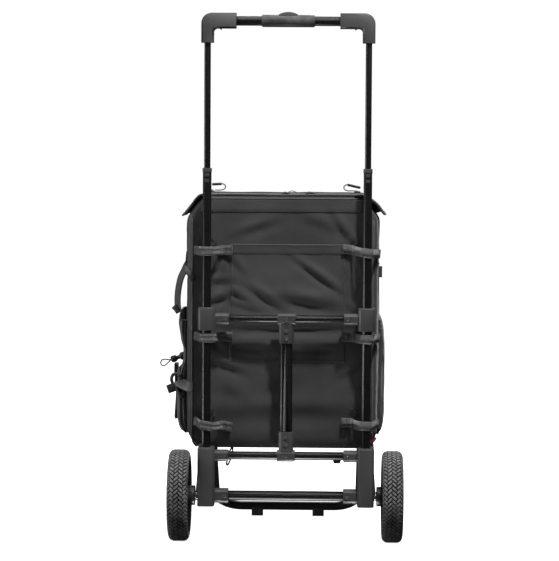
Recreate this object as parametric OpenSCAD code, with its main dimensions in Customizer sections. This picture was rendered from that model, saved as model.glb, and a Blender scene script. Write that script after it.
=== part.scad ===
// Two-wheel trolley with a telescopic handle, carrying a soft equipment bag strapped to its posts.
// Millimetres. +X is right, +Y is forward (the bag's side), +Z is up and the floor is z = 0.
// Heights of the frame are measured from the axle. Depths are measured from the centre plane of the
// posts, and cart_y then moves everything so that the origin lies under the middle of the outer box.

/* [Posts and brackets] */
// Distance between the centre lines of the two posts
post_spacing = 314; // [260:1:380]
// Width of each outer post across the cart
post_w = 16.4; // [13.5:0.1:20]
// Depth of each outer post, front to back
post_d = 20; // [18:0.5:26]
// Wall of the outer posts
post_wall = 1.2; // [1:0.1:1.5]
// Flat on each long edge of the outer posts
post_chamfer = 3; // [1.5:0.5:4]
// Height of the top of the posts above the axle
post_rise = 636; // [560:1:720]
// Width of the lower brackets across the cart
bracket_w = 33; // [28:1:40]
// Depth of the lower brackets, front to back
bracket_d = 44; // [34:1:50]
// Height of the top of the lower brackets above the axle
deck_rise = 96.6; // [90:0.2:116]
// Height of the middle brackets
mid_bracket_h = 45; // [36:1:54]
// Width and depth of the middle brackets
mid_bracket_w = 34; // [30:1:40]

/* [Crossbars] */
// Height of the middle crossbar above the axle
mid_rise = 349.5; // [290:0.5:420]
// Diameter of the middle crossbar
mid_bar_d = 15; // [12:0.5:18]
// Diameter of the crossbar under the bag
deck_bar_d = 16.5; // [13:0.5:18]
// Diameter of the crossbar around the axle
axle_bar_d = 19.5; // [16:0.5:22]
// Length of the sleeves at the ends of the crossbars
sleeve_len = 27.5; // [22:0.5:33]
// Width of the tee fittings on the crossbars
tee_w = 35.4; // [30:0.2:42]
// Width of the centre strut
strut_w = 23.6; // [19:0.2:28]
// Depth of the centre strut
strut_d = 12; // [10:0.5:15]

/* [Wheels] */
// Diameter of the wheels
wheel_d = 180; // [150:1:216]
// Width of the tyres
tyre_w = 41; // [34:1:50]
// Height of the tyre's section, from rim to tread
tyre_section = 32; // [26:1:36]
// Diameter of the axle
axle_d = 10; // [8:0.5:12]
// Gap between the tyre and the face of the lower bracket
wheel_gap = 15.5; // [13:0.5:22]

/* [Toe loop] */
// Diameter of the toe loop's tube
toe_d = 18; // [15:0.5:20]
// Wall of the toe loop's tube
toe_wall = 1.5; // [1.2:0.1:2]
// Distance from the posts to the front of the toe loop
toe_reach = 320; // [312:1:384]
// Distance between the centre lines of the toe loop's arms
toe_spacing = 300; // [250:1:360]
// Bend radius of the toe loop's corners
toe_bend = 55; // [40:1:66]
// Height of the rubber feet below the tube
foot_h = 11; // [9:0.5:13]

/* [Handle] */
// Height of the grip's centre line above the axle
grip_rise = 930.7; // [850:0.1:1120]
// Width of the inner tubes across the cart
tube_w = 12.2; // [10.5:0.1:12.4]
// Depth of the inner tubes, front to back
tube_d = 15.5; // [14:0.1:15.8]
// Wall of the inner tubes
tube_wall = 1.1; // [1:0.1:1.3]
// Length of inner tube that stays inside each post
tube_overlap = 86; // [70:1:100]
// How far the handle slides down
handle_travel = 236; // [180:1:240]
// Diameter of the grip bar
grip_d = 19; // [16:0.5:22]
// Diameter of the soft sleeve in the middle of the grip
soft_d = 24; // [20:0.5:28]
// Length of the soft sleeve
soft_len = 104; // [86:1:124]
// Height of the moulded corners
corner_h = 30; // [26:1:34]
// Depth of the moulded corners
corner_d = 27; // [24:1:32]
// Width of the release button
button_w = 39; // [32:1:46]
// Travel of the release button
button_travel = 4; // [3:0.5:4]

/* [Bag] */
// Width of the bag
bag_w = 382; // [350:1:400]
// Height of the bag
bag_h = 497; // [430:1:600]
// Depth of the bag
bag_d = 240; // [200:1:276]
// Distance that the bag hangs left of the cart's centre line
bag_shift = 9; // [0:1:15]
// Gap from the centre plane of the posts to the bag's back
bag_gap = 32; // [26:0.5:38]
// Thickness of the bag's padded walls
wall_t = 6; // [4:0.5:8]
// Depth of the skirt around the lid
skirt_h = 42; // [35:1:50]
// Depth of the front pocket
front_pocket_t = 36; // [20:1:38]
// Width of the webbing that straps the bag to the posts
strap_w = 18; // [15:1:22]
// Thickness of that webbing
strap_t = 1.8; // [1.5:0.1:2.2]

/* [Hidden] */
$fn = 48;

// Colours
TUBE_BLACK = [0.09, 0.09, 0.095];
PLASTIC_GREY = [0.27, 0.27, 0.28];
GRIP_GREY = [0.4, 0.4, 0.41];
FABRIC = [0.2, 0.2, 0.21];
WEBBING = [0.3, 0.3, 0.31];
RUBBER = [0.14, 0.14, 0.14];
STEEL = [0.75, 0.75, 0.76];

// Clearances: seated parts, sliding parts, parts on different bodies, and the running fit of a shaft
seat_gap = 0.05;
slide_gap = 0.3;
free_gap = 0.5;
run_gap = 0.05;

// Main levels and planes
wheel_r = wheel_d / 2;
axle_z = wheel_r;
post_x = post_spacing / 2;
deck_z = axle_z + deck_rise;
mid_z = axle_z + mid_rise;
post_top_z = axle_z + post_rise;
grip_z = axle_z + grip_rise;
bracket_drop = 19.3;
bracket_x = post_x - bracket_w / 2;
cart_y = (wheel_r - toe_reach) / 2;

// Posts, collars and handle tubes
post_foot_z = axle_z + 22;
post_bore_w = post_w - 2 * post_wall;
post_bore_d = post_d - 2 * post_wall;
post_bore_chamfer = post_chamfer - post_wall / 2;
collar_len = 30;
collar_rim_h = 8.3;
collar_rim_proud = 0.7;
tab_w = 9;
tab_h = 6.5;
tab_drops = [1.5, 12.5];
tube_chamfer = 2.2;
tube_foot_z = post_top_z - tube_overlap;
tube_bore_w = tube_w - 2 * tube_wall;
tube_bore_d = tube_d - 2 * tube_wall;
tube_bore_chamfer = tube_chamfer - tube_wall / 2;

// Lock pins, the slanted blades that draw them in, and their plugs
pin_r = 2.5;
pin_z = tube_foot_z + 20;
pin_reach = 0.45;
groove_depth = 0.7;
pin_tip = post_bore_w / 2 + pin_reach;
pin_tail = 3.1;
pin_travel = 1.6;
blade_slope = pin_travel / button_travel;
blade_w = 2.2;
blade_t = 1.6;
blade_low = 3.2;
blade_high = 7.2;
blade_mid = 2;
blade_play = 0.2;
plug_top = 12;
rod_r = 1.5;
yoke_h = 4;
yoke_d = 6;
yoke_low = -1;
grip_bore_r = grip_d / 2 - 1.5;

// Moulded corners of the handle: section, lengths of their two arms, and their outer and inner rounds
corner_w = tube_w + 12.2;
corner_reach = 56;
corner_drop = 42.7;
corner_round = 21;
corner_fillet = 8;

// Crossbars, sleeves and tees: [height, bar diameter, sleeve height]
deck_bar_z = deck_z - 17.1;
sleeve_d = 26;
SLEEVES = [
    [mid_z, mid_bar_d, 21.6],
    [deck_bar_z, deck_bar_d, 21.6],
    [axle_z, axle_bar_d, 27]
];
tee_h = 21;
tee_d = 25;
stem_w = strut_w + 5.2;
stem_len = 47;
strut_seat = 24;
tee_screws = [23, 38];
screw_head_r = 4;
screw_r = 2;
screw_len = 9;
sleeve_screw_inset = 7.5;

// Wheels
wheel_in = post_x + bracket_w / 2 + wheel_gap;
hub_face = post_x + bracket_w / 2 + 5;
flange_r = 19.5;
bush_r = axle_d / 2 + 3;
rim_r = wheel_r - tyre_section;
hub_r = bush_r + 6;
hub_end = wheel_in + tyre_w - 14;
rim_w = tyre_w - 8;
spokes = 6;

// Toe loop, seen from the side as a straight line from its pivot down to its feet
toe_x = toe_spacing / 2;
toe_r = toe_d / 2;
toe_pivot_y = 140;
toe_pivot_z = deck_z - 27.6;
toe_front_y = toe_reach - toe_r;
toe_front_z = foot_h + toe_r;
toe_run = toe_front_y - toe_pivot_y;
toe_fall = toe_pivot_z - toe_front_z;
toe_len = norm([toe_run, toe_fall]);
toe_tilt = atan2(toe_fall, toe_run);
toe_knuckle_r = toe_r + 2;
toe_pin_r = 4;
ear_in = toe_x + toe_r + 1;
ear_out = post_x + bracket_w / 2;
foot_x = 64;
foot_w = 24;

// Bag
bag_left_x = -bag_shift - bag_w / 2;
bag_right_x = -bag_shift + bag_w / 2;
bag_back_y = bag_gap;
bag_front_y = bag_gap + bag_d;
base_z = deck_z + 0.4;
bag_top_z = base_z + bag_h;
lid_t = 7;
wall_top_z = bag_top_z - lid_t - 0.6;
shoulder_z = bag_top_z - skirt_h - 8;
toe_corner = 16;
lid_pivot_y = bag_back_y + wall_t / 2;
strap_in = 48;
strap_out = 26;
strap_patch = 17;
strap_heights = [bag_top_z - 112, mid_z - 37.5, deck_z + 43];
pocket_t = 3;
pocket_half = post_x - strap_in - 2;
pocket_low_z = bag_top_z - 329.5;
pocket_top_z = bag_top_z - 100;
side_pocket_y = [bag_gap + 40, bag_gap + bag_d - 40];
webbing_w = 25;
handle_y = bag_gap + 98;

// Cord lock: its two ends, and the line that it lies along
lock_in = bag_left_x - 6;
lock_out = bag_left_x - 38;
lock_z = base_z + 177;
lock_y = handle_y + webbing_w / 2;

// Zip on the lid, its sliders and their pulls
zip_y = bag_gap + 60;
zip_from = bag_left_x + 38;
zip_to = bag_right_x - 34;
zip_w = 14;
zip_t = 1.5;
slider_left_x = bag_left_x + 47;
slider_right_x = bag_right_x - 44;
slider_z = bag_top_z + zip_t + slide_gap;
slider_h = 3.2;

// Routes of the free cords. The drawcord's is measured from the cord lock's outer face, and the
// pull cords' from the eye of their slider: [sideways, forward, up]
cord_d = 1.8;
drawcord_route = [
    [0, 3, 0], [-4, 3.3, 1], [-8, 4, 3], [-13, 4.6, 5], [-18, 4.2, 5], [-21, 2.5, 2],
    [-22, 0, -1], [-21, -2.5, -4], [-18, -4.2, -6], [-13, -4.6, -6], [-8, -4, -4],
    [-4, -3.3, -2], [0, -3, 0]
];
pull_d = 2.2;
pull_left_route = [
    [0, 0, 0], [3.5, 0, 0], [7, 0, 0], [10.5, 0, 0.2], [14, 0, 0.8], [17, 0, 1.8], [19.4, 0, 4],
    [20.2, 0, 7], [19, 0, 10], [16.4, 0, 12], [13.2, 0, 12.8]
];
pull_right_route = [
    [0, 0, 0], [-4, 0, 0], [-8, 0, 0], [-12, 0, 0.3], [-15.2, 0, 1.2], [-17.8, 0, 3.2],
    [-19, 0, 6.2], [-18.2, 0, 9.3], [-15.6, 0, 11.4], [-12.4, 0, 12.4]
];
eye_reach = 8;
tip_len = 26;

// ---------- helpers ----------

// Puts a piece into the cart's frame in its colour
module piece(shade) {
    translate([0, cart_y, 0]) color(shade) children();
}

// The right-hand piece as drawn, or its mirror image for the left
module on_side(side) {
    if (side > 0) children();
    else mirror([1, 0, 0]) children();
}

// A rectangle about the origin with its four corners cut off
function cut_rectangle(w, d, c) = [
    [-w / 2 + c, -d / 2], [w / 2 - c, -d / 2], [w / 2, -d / 2 + c], [w / 2, d / 2 - c],
    [w / 2 - c, d / 2], [-w / 2 + c, d / 2], [-w / 2, d / 2 - c], [-w / 2, -d / 2 + c]
];

// An upright bar of that section, from one height to another
module upright(w, d, c, from_z, to_z) {
    translate([0, 0, from_z]) linear_extrude(to_z - from_z) polygon(cut_rectangle(w, d, c));
}

// A box given by its two corners
module block(low, high) {
    translate(low) cube(high - low);
}

// A cylinder along X, and one along Y
module x_rod(r, from_x, to_x) {
    translate([from_x, 0, 0]) rotate([0, 90, 0]) cylinder(h = to_x - from_x, r = r);
}

module y_rod(r, from_y, to_y) {
    translate([0, from_y, 0]) rotate([-90, 0, 0]) cylinder(h = to_y - from_y, r = r);
}

// An outline in X and Z, carried along Y
module carried_y(from_y, to_y) {
    translate([0, to_y, 0]) rotate([90, 0, 0]) linear_extrude(to_y - from_y) children();
}

// An outline in Y and Z, carried along X
module carried_x(from_x, to_x) {
    translate([from_x, 0, 0]) rotate([90, 0, 90]) linear_extrude(to_x - from_x) children();
}

// A band of thickness t on the right-hand side of a line of points
function line_normal(line, i) = let (
    a = line[max(i - 1, 0)],
    b = line[min(i + 1, len(line) - 1)],
    d = (b - a) / norm(b - a)
) [d[1], -d[0]];
function band(line, t) = concat(
    line,
    [for (i = [len(line) - 1:-1:0]) line[i] + t * line_normal(line, i)]
);

// A curve through points, for smooth bends in bands and cords
function curve_point(p, i, u) = let (
    a = p[max(i - 1, 0)], b = p[i], c = p[i + 1], d = p[min(i + 2, len(p) - 1)]
) 0.5 * (2 * b + (c - a) * u + (2 * a - 5 * b + 4 * c - d) * u * u
    + (3 * b - a - 3 * c + d) * u * u * u);
function curve(p, steps) = concat(
    [for (i = [0:len(p) - 2], s = [0:steps - 1]) curve_point(p, i, s / steps)],
    [p[len(p) - 1]]
);

// A tube swept along the points of a route
function cross_unit(a, b) = let (c = cross(a, b)) c / norm(c);
module swept_tube(route, d, sides) {
    count = len(route);
    ahead = [for (i = [0:count - 1])
        let (v = route[min(i + 1, count - 1)] - route[max(i - 1, 0)]) v / norm(v)];
    side = [for (t = ahead) cross_unit(t, [0.1, 0.96, 0.26])];
    rings = [for (i = [0:count - 1], s = [0:sides - 1])
        let (up = cross(ahead[i], side[i]), turn = 360 * s / sides)
        route[i] + d / 2 * (cos(turn) * side[i] + sin(turn) * up)];
    skin = [for (i = [0:count - 2], s = [0:sides - 1], half = [0, 1])
        let (next = (s + 1) % sides, a = i * sides, b = a + sides)
        half == 0 ? [b + s, a + next, a + s] : [b + s, b + next, a + next]];
    ends = [[for (s = [0:sides - 1]) s], [for (s = [sides - 1:-1:0]) (count - 1) * sides + s]];
    polyhedron(points = rings, faces = concat(skin, ends), convexity = 6);
}

// ---------- posts and brackets ----------

module post(side) {
    piece(TUBE_BLACK) on_side(side) translate([post_x, 0, 0]) difference() {
        upright(post_w, post_d, post_chamfer, post_foot_z, post_top_z);
        upright(post_bore_w, post_bore_d, post_bore_chamfer, post_foot_z - 1, post_top_z + 1);
        block([-post_bore_w / 2 - groove_depth, -pin_r - 0.4, pin_z - handle_travel - 6],
            [0, pin_r + 0.4, pin_z + 6]);
        for (drop = tab_drops)
            block([-tab_w / 2, -post_d, post_top_z - drop - tab_h],
                [tab_w / 2, 0, post_top_z - drop]);
    }
}
module post_left() post(-1);
module post_right() post(1);

// Plastic guides clipped into the tops of the posts, with two snap tabs that show at the back
module post_collars() {
    piece(PLASTIC_GREY) for (side = [-1, 1]) on_side(side) translate([post_x, 0, 0]) difference() {
        union() {
            upright(post_bore_w - 2 * seat_gap, post_bore_d - 2 * seat_gap, post_bore_chamfer,
                post_top_z - collar_len, post_top_z + 1);
            upright(post_w + 2 * collar_rim_proud, post_d + 2 * collar_rim_proud, post_chamfer,
                post_top_z, post_top_z + collar_rim_h);
            for (drop = tab_drops)
                block([-tab_w / 2 + 0.2, -post_d / 2 - 0.2, post_top_z - drop - tab_h + 0.2],
                    [tab_w / 2 - 0.2, -post_bore_d / 2 + 1, post_top_z - drop - 0.2]);
        }
        upright(tube_w + 2 * slide_gap, tube_d + 2 * slide_gap, tube_chamfer,
            post_top_z - collar_len - 1, post_top_z + collar_rim_h + 1);
    }
}

module mid_bracket(side) {
    low = mid_z - mid_bracket_h / 2;
    piece(PLASTIC_GREY) on_side(side) translate([post_x, 0, 0]) difference() {
        union() {
            upright(mid_bracket_w, mid_bracket_w, 5, low, low + mid_bracket_h - 2);
            upright(mid_bracket_w - 2, mid_bracket_w - 2, 5, low, low + mid_bracket_h);
        }
        upright(post_w + 2 * seat_gap, post_d + 2 * seat_gap, post_chamfer,
            low - 1, low + mid_bracket_h + 1);
    }
}
module mid_bracket_left() mid_bracket(-1);
module mid_bracket_right() mid_bracket(1);

// Lower brackets: socket for the post, bore for the axle, and a forward arm that carries the bag
// and the toe loop's pivot
module lower_bracket(side) {
    piece(PLASTIC_GREY) on_side(side) difference() {
        union() {
            translate([post_x, 0, 0]) {
                upright(bracket_w, bracket_d, 4, axle_z - bracket_drop, deck_z - 2);
                upright(bracket_w - 2.4, bracket_d - 2.4, 4, deck_z - 3, deck_z);
            }
            carried_x(ear_in, ear_out) polygon([
                [bracket_d / 2 - 6, deck_z], [toe_pivot_y + 10, deck_z],
                [toe_pivot_y + 15, toe_pivot_z + 8], [toe_pivot_y + 13, toe_pivot_z - 9],
                [toe_pivot_y, toe_pivot_z - 15], [bracket_d / 2 - 6, axle_z + 12]
            ]);
            carried_y(-14, 14) polygon([
                [ear_out - 1, axle_z + 50], [ear_out, axle_z + 50], [ear_out + 3, axle_z + 13],
                [ear_out + 3, axle_z + 11], [ear_out - 1, axle_z + 10]
            ]);
        }
        translate([post_x, 0, 0]) upright(post_w + 2 * seat_gap, post_d + 2 * seat_gap,
            post_chamfer, post_foot_z, deck_z + 1);
        translate([0, 0, axle_z]) x_rod(axle_d / 2 + seat_gap, bracket_x - 1, ear_out + 4);
        translate([0, toe_pivot_y, toe_pivot_z]) x_rod(toe_pin_r + seat_gap, ear_in - 1, ear_out + 1);
    }
}
module lower_bracket_left() lower_bracket(-1);
module lower_bracket_right() lower_bracket(1);

// ---------- crossbars ----------

// A crossbar between the brackets, with a shallow groove along its back and screw holes at its ends
module crossbar(z, d, reach, bore_r) {
    piece(TUBE_BLACK) translate([0, 0, z]) difference() {
        x_rod(d / 2, -reach, reach);
        x_rod(bore_r, -reach - 1, reach + 1);
        block([-reach - 1, -d, -1.3], [reach + 1, -d / 2 + 1.1, 1.3]);
        for (x = [-1, 1])
            translate([x * (reach - sleeve_len + sleeve_screw_inset), 0, 0])
                y_rod(screw_r + seat_gap, -d, 0);
    }
}

// The middle and deck crossbars also carry the screw of a tee fitting
module tee_crossbar(z, d, reach) {
    difference() {
        crossbar(z, d, reach, d / 2 - 1.5 - 1.1);
        translate([0, cart_y, z]) y_rod(screw_r + seat_gap, -d, 0);
    }
}
module mid_crossbar() tee_crossbar(mid_z, mid_bar_d, post_x - mid_bracket_w / 2);
module deck_crossbar() tee_crossbar(deck_bar_z, deck_bar_d, bracket_x);
module axle_crossbar() crossbar(axle_z, axle_bar_d, bracket_x, axle_d / 2 + seat_gap);

function sleeve_end(z) = z == mid_z ? post_x - mid_bracket_w / 2 : bracket_x;

module crossbar_sleeves() {
    piece(PLASTIC_GREY) for (s = SLEEVES, side = [-1, 1]) on_side(side) translate([0, 0, s[0]])
        difference() {
            carried_x(sleeve_end(s[0]) - sleeve_len, sleeve_end(s[0]))
                polygon(cut_rectangle(sleeve_d, s[2], 5));
            x_rod(s[1] / 2 + seat_gap, 0, sleeve_end(s[0]) + 1);
            translate([sleeve_end(s[0]) - sleeve_len + sleeve_screw_inset, 0, 0])
                y_rod(screw_r + seat_gap, -sleeve_d, 0);
        }
}

// A tee that holds a crossbar and one end of the centre strut. up is 1 when its stem points up
module tee(z, d, stem, up) {
    far = up * (tee_h / 2 + stem - 10);
    piece(PLASTIC_GREY) translate([0, 0, z]) difference() {
        union() {
            carried_x(-tee_w / 2, tee_w / 2) polygon(cut_rectangle(tee_d, tee_h, 4));
            upright(stem_w, tee_d - 2, 4, min(0, far), max(0, far));
        }
        x_rod(d / 2 + seat_gap, -tee_w, tee_w);
        upright(strut_w + 2 * seat_gap, strut_d + 2 * seat_gap, 3,
            min(far + up, far - up * strut_seat), max(far + up, far - up * strut_seat));
        for (drop = concat([0], tee_screws))
            translate([0, 0, up * drop]) y_rod(screw_r + seat_gap, -tee_d, 0);
    }
}
module upper_tee() tee(mid_z, mid_bar_d, stem_len, -1);
module lower_tee() tee(deck_bar_z, deck_bar_d, stem_len, 1);

module centre_strut() {
    top = mid_z - tee_h / 2 - stem_len + 10 + strut_seat;
    foot = deck_bar_z + tee_h / 2 + stem_len - 10 - strut_seat;
    piece(TUBE_BLACK) difference() {
        upright(strut_w, strut_d, 3, foot, top);
        upright(strut_w - 3, strut_d - 3, 2, foot - 1, top + 1);
        for (drop = tee_screws, z = [mid_z - drop, deck_bar_z + drop])
            translate([0, 0, z]) y_rod(screw_r + seat_gap, -strut_d, 0);
    }
}

// A button-head screw that points forward, with the back of its head at y
module screw_at(x, y, z, length) {
    translate([x, y, z]) {
        difference() {
            y_rod(screw_head_r, -2, 0);
            y_rod(1.3, -3, -1);
        }
        y_rod(screw_r, -0.5, length);
    }
}

module frame_screws() {
    piece(STEEL) {
        for (s = SLEEVES, side = [-1, 1])
            screw_at(side * (sleeve_end(s[0]) - sleeve_len + sleeve_screw_inset),
                -sleeve_d / 2, s[0], s[0] == axle_z ? 6.5 : screw_len);
        for (z = [mid_z, deck_bar_z])
            screw_at(0, -tee_d / 2, z, screw_len);
        for (drop = tee_screws, z = [mid_z - drop, deck_bar_z + drop])
            screw_at(0, -tee_d / 2 + 1, z, 6.5);
    }
}

// ---------- axle and wheels ----------

module axle() {
    piece(STEEL) translate([0, 0, axle_z]) x_rod(axle_d / 2, -hub_end - 6, hub_end + 6);
}

// Spacers between the brackets and the hubs, and the dome nuts on the axle's ends
module axle_fasteners() {
    piece(STEEL) translate([0, 0, axle_z]) for (side = [-1, 1]) on_side(side) {
        difference() {
            x_rod(axle_d / 2 + 4.5, ear_out, hub_face - free_gap);
            x_rod(axle_d / 2 + seat_gap, ear_out - 1, hub_face);
        }
        difference() {
            translate([hub_end + free_gap, 0, 0]) rotate([0, 90, 0])
                cylinder(h = 9, r = axle_d / 2 + 4, $fn = 6);
            x_rod(axle_d / 2 + seat_gap, hub_end, hub_end + 6 + seat_gap);
        }
    }
}

// Everything on a wheel is drawn about the axle's line on the right-hand side
module on_axle(side) {
    on_side(side) translate([0, 0, axle_z]) children();
}

module rim(side) {
    web_mid = wheel_in + tyre_w / 2;
    piece(PLASTIC_GREY) on_axle(side) difference() {
        union() {
            x_rod(hub_r, hub_face, hub_end);
            x_rod(flange_r, hub_face, wheel_in + 2);
            x_rod(rim_r - 3, web_mid - 5, web_mid + 5);
            difference() {
                x_rod(rim_r, web_mid - rim_w / 2, web_mid + rim_w / 2);
                x_rod(rim_r - 5, web_mid - rim_w / 2 - 1, web_mid + rim_w / 2 + 1);
            }
        }
        x_rod(bush_r, hub_face - 1, hub_end + 1);
        for (k = [0:spokes - 1])
            rotate([k * 360 / spokes, 0, 0]) translate([0, (hub_r + rim_r - 5) / 2, 0])
                x_rod((rim_r - hub_r - 5) / 2 - 4, web_mid - 6, web_mid + 6);
    }
}
module rim_left() rim(-1);
module rim_right() rim(1);

module tyre(side) {
    shoulder = 11;
    piece(RUBBER) on_axle(side) translate([wheel_in, 0, 0]) rotate([0, 90, 0])
        rotate_extrude() union() {
            polygon([
                [rim_r, 4], [rim_r + 8, 1.5], [wheel_r - shoulder, 0],
                [wheel_r - shoulder, tyre_w], [rim_r + 8, tyre_w - 1.5], [rim_r, tyre_w - 4]
            ]);
            translate([wheel_r - shoulder - 1, shoulder]) square([shoulder + 1, tyre_w - 2 * shoulder]);
            for (z = [shoulder, tyre_w - shoulder])
                translate([wheel_r - shoulder, z]) circle(r = shoulder);
        }
}
module tyre_left() tyre(-1);
module tyre_right() tyre(1);

module wheel_bush(side) {
    piece(RUBBER) on_axle(side) difference() {
        x_rod(bush_r, hub_face, hub_end);
        x_rod(axle_d / 2 + run_gap, hub_face - 1, hub_end + 1);
    }
}
module wheel_bush_left() wheel_bush(-1);
module wheel_bush_right() wheel_bush(1);

// ---------- toe loop ----------

// Turns a shape drawn flat, forward from the pivot, down to the slope of the loop
module on_toe_slope() {
    translate([0, toe_pivot_y, toe_pivot_z]) rotate([-toe_tilt, 0, 0]) children();
}

// The loop's line as a round bar, from a distance ahead of the pivot
module toe_bar(r, start) {
    arm = toe_len - toe_bend;
    for (side = [-1, 1]) on_side(side) {
        translate([toe_x, 0, 0]) y_rod(r, start, arm);
        translate([toe_x - toe_bend, arm, 0]) rotate_extrude(angle = 90)
            translate([toe_bend, 0]) circle(r = r);
    }
    translate([0, toe_len, 0]) x_rod(r, -toe_x + toe_bend, toe_x - toe_bend);
}

module toe_loop() {
    piece(TUBE_BLACK) on_toe_slope() difference() {
        union() {
            toe_bar(toe_r, 0);
            for (side = [-1, 1]) on_side(side)
                x_rod(toe_knuckle_r, toe_x - toe_r, toe_x + toe_r);
        }
        toe_bar(toe_r - toe_wall, toe_knuckle_r + 4);
        x_rod(toe_pin_r + run_gap, -toe_x - toe_r - 1, toe_x + toe_r + 1);
        for (side = [-1, 1])
            translate([side * toe_x, toe_knuckle_r + 10, -toe_d]) cylinder(h = toe_d, r = 1.5);
    }
}

// Rubber feet moulded around the underside of the loop's front
module toe_feet() {
    piece(RUBBER) for (side = [-1, 1]) difference() {
        block([side * foot_x - foot_w / 2, toe_front_y - toe_r, 0],
            [side * foot_x + foot_w / 2, toe_front_y + toe_r, toe_front_z - 3]);
        translate([0, toe_front_y, toe_front_z])
            x_rod(toe_r + seat_gap, side * foot_x - foot_w, side * foot_x + foot_w);
    }
}

module toe_pivot_pins() {
    piece(STEEL) translate([0, toe_pivot_y, toe_pivot_z]) for (side = [-1, 1]) on_side(side) {
        x_rod(toe_pin_r, toe_x - toe_r + 1, ear_out + 1);
        x_rod(toe_pin_r + 3, ear_out, ear_out + 2.5);
    }
}

// ---------- handle ----------

module inner_tube(side) {
    piece(TUBE_BLACK) on_side(side) translate([post_x, 0, 0]) difference() {
        upright(tube_w, tube_d, tube_chamfer, tube_foot_z, grip_z - grip_d / 2 - 3);
        upright(tube_bore_w, tube_bore_d, tube_bore_chamfer, tube_foot_z - 1, grip_z);
        translate([0, 0, pin_z]) x_rod(pin_r + 0.05, -tube_w, 0);
    }
}
module inner_tube_left() inner_tube(-1);
module inner_tube_right() inner_tube(1);

// Outline of a corner: a vertical arm over the tube and a horizontal arm over the grip bar
module corner_outline() {
    out = post_x + corner_w / 2;
    in = post_x - corner_w / 2;
    top = grip_z + corner_h / 2;
    low = grip_z - corner_h / 2;
    difference() {
        union() {
            polygon([
                [in, grip_z - corner_drop], [out, grip_z - corner_drop], [out, top - corner_round],
                [out - corner_round, top], [post_x - corner_reach, top],
                [post_x - corner_reach, low], [in - corner_fillet, low], [in, low - corner_fillet]
            ]);
            translate([out - corner_round, top - corner_round]) circle(r = corner_round);
        }
        translate([in - corner_fillet, low - corner_fillet]) circle(r = corner_fillet);
    }
}

module handle_corner(side) {
    piece(GRIP_GREY) on_side(side) difference() {
        union() {
            carried_y(-corner_d / 2 + 3, corner_d / 2 - 3) corner_outline();
            intersection() {
                carried_y(-corner_d / 2, corner_d / 2) corner_outline();
                union() {
                    block([post_x - corner_reach, -corner_d / 2, grip_z - corner_h / 2 + 3],
                        [post_x + corner_w / 2 - 3, corner_d / 2, grip_z + corner_h / 2 - 3]);
                    block([post_x - corner_w / 2 + 3, -corner_d / 2, grip_z - corner_drop],
                        [post_x + corner_w / 2 - 3, corner_d / 2, grip_z]);
                }
            }
        }
        translate([post_x, 0, 0]) upright(tube_w + 2 * seat_gap, tube_d + 2 * seat_gap,
            tube_chamfer, grip_z - corner_drop - 1, grip_z - grip_d / 2 - 3);
        translate([0, 0, grip_z]) x_rod(grip_d / 2 + seat_gap, 0, post_x - 8);
        block([post_x - 9, -tube_bore_d / 2, grip_z - grip_d / 2 - 4],
            [post_x + tube_bore_w / 2, tube_bore_d / 2, grip_z + 7]);
    }
}
module handle_corner_left() handle_corner(-1);
module handle_corner_right() handle_corner(1);

// The slot under the button, through the top of the bar and of the sleeve
module button_slot() {
    block([-button_w / 2 - 0.5, -7.3, grip_z + 1], [button_w / 2 + 0.5, 7.3, grip_z + soft_d]);
}

module grip_bar() {
    piece(TUBE_BLACK) difference() {
        translate([0, 0, grip_z]) difference() {
            x_rod(grip_d / 2, -post_x + 8, post_x - 8);
            x_rod(grip_bore_r, -post_x, post_x);
        }
        button_slot();
    }
}

module grip_sleeve() {
    piece(PLASTIC_GREY) difference() {
        translate([0, 0, grip_z]) difference() {
            union() {
                x_rod(soft_d / 2 - 1.5, -soft_len / 2, soft_len / 2);
                x_rod(soft_d / 2, -soft_len / 2 + 1.5, soft_len / 2 - 1.5);
            }
            x_rod(grip_d / 2 + seat_gap, -soft_len, soft_len);
        }
        button_slot();
    }
}

module lock_plugs() {
    piece(PLASTIC_GREY) for (side = [-1, 1]) on_side(side) translate([post_x, 0, 0]) difference() {
        upright(tube_bore_w - 2 * seat_gap, tube_bore_d - 2 * seat_gap, tube_bore_chamfer,
            tube_foot_z, pin_z + plug_top);
        translate([0, 0, pin_z]) x_rod(pin_r + 0.05, -tube_w, tube_w);
        block([-tube_bore_w / 2 + 0.6, -rod_r - 0.4, pin_z - blade_low - button_travel - 1],
            [tube_bore_w / 2 - 0.6, rod_r + 0.4, pin_z + plug_top + 1]);
    }
}

// ---------- release ----------

module release_button() {
    crown_r = 37.3;
    crown_z = grip_z + soft_d / 2 + 5.5;
    piece(GRIP_GREY) intersection() {
        block([-button_w / 2, -6.8, grip_z + yoke_low + yoke_h], [button_w / 2, 6.8, crown_z]);
        translate([0, 0, crown_z - crown_r]) y_rod(crown_r, -8, 8);
    }
}

// The slanted line of a blade, at a height above the pin's centre
function blade_x(h) = (h - blade_mid) * blade_slope;

module blade_outline(grow, low, high) {
    half = blade_w / 2 + grow;
    polygon([
        [blade_x(low) - half, pin_z + low], [blade_x(low) + half, pin_z + low],
        [blade_x(high) + half, pin_z + high], [blade_x(high) - half, pin_z + high]
    ]);
}

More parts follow.
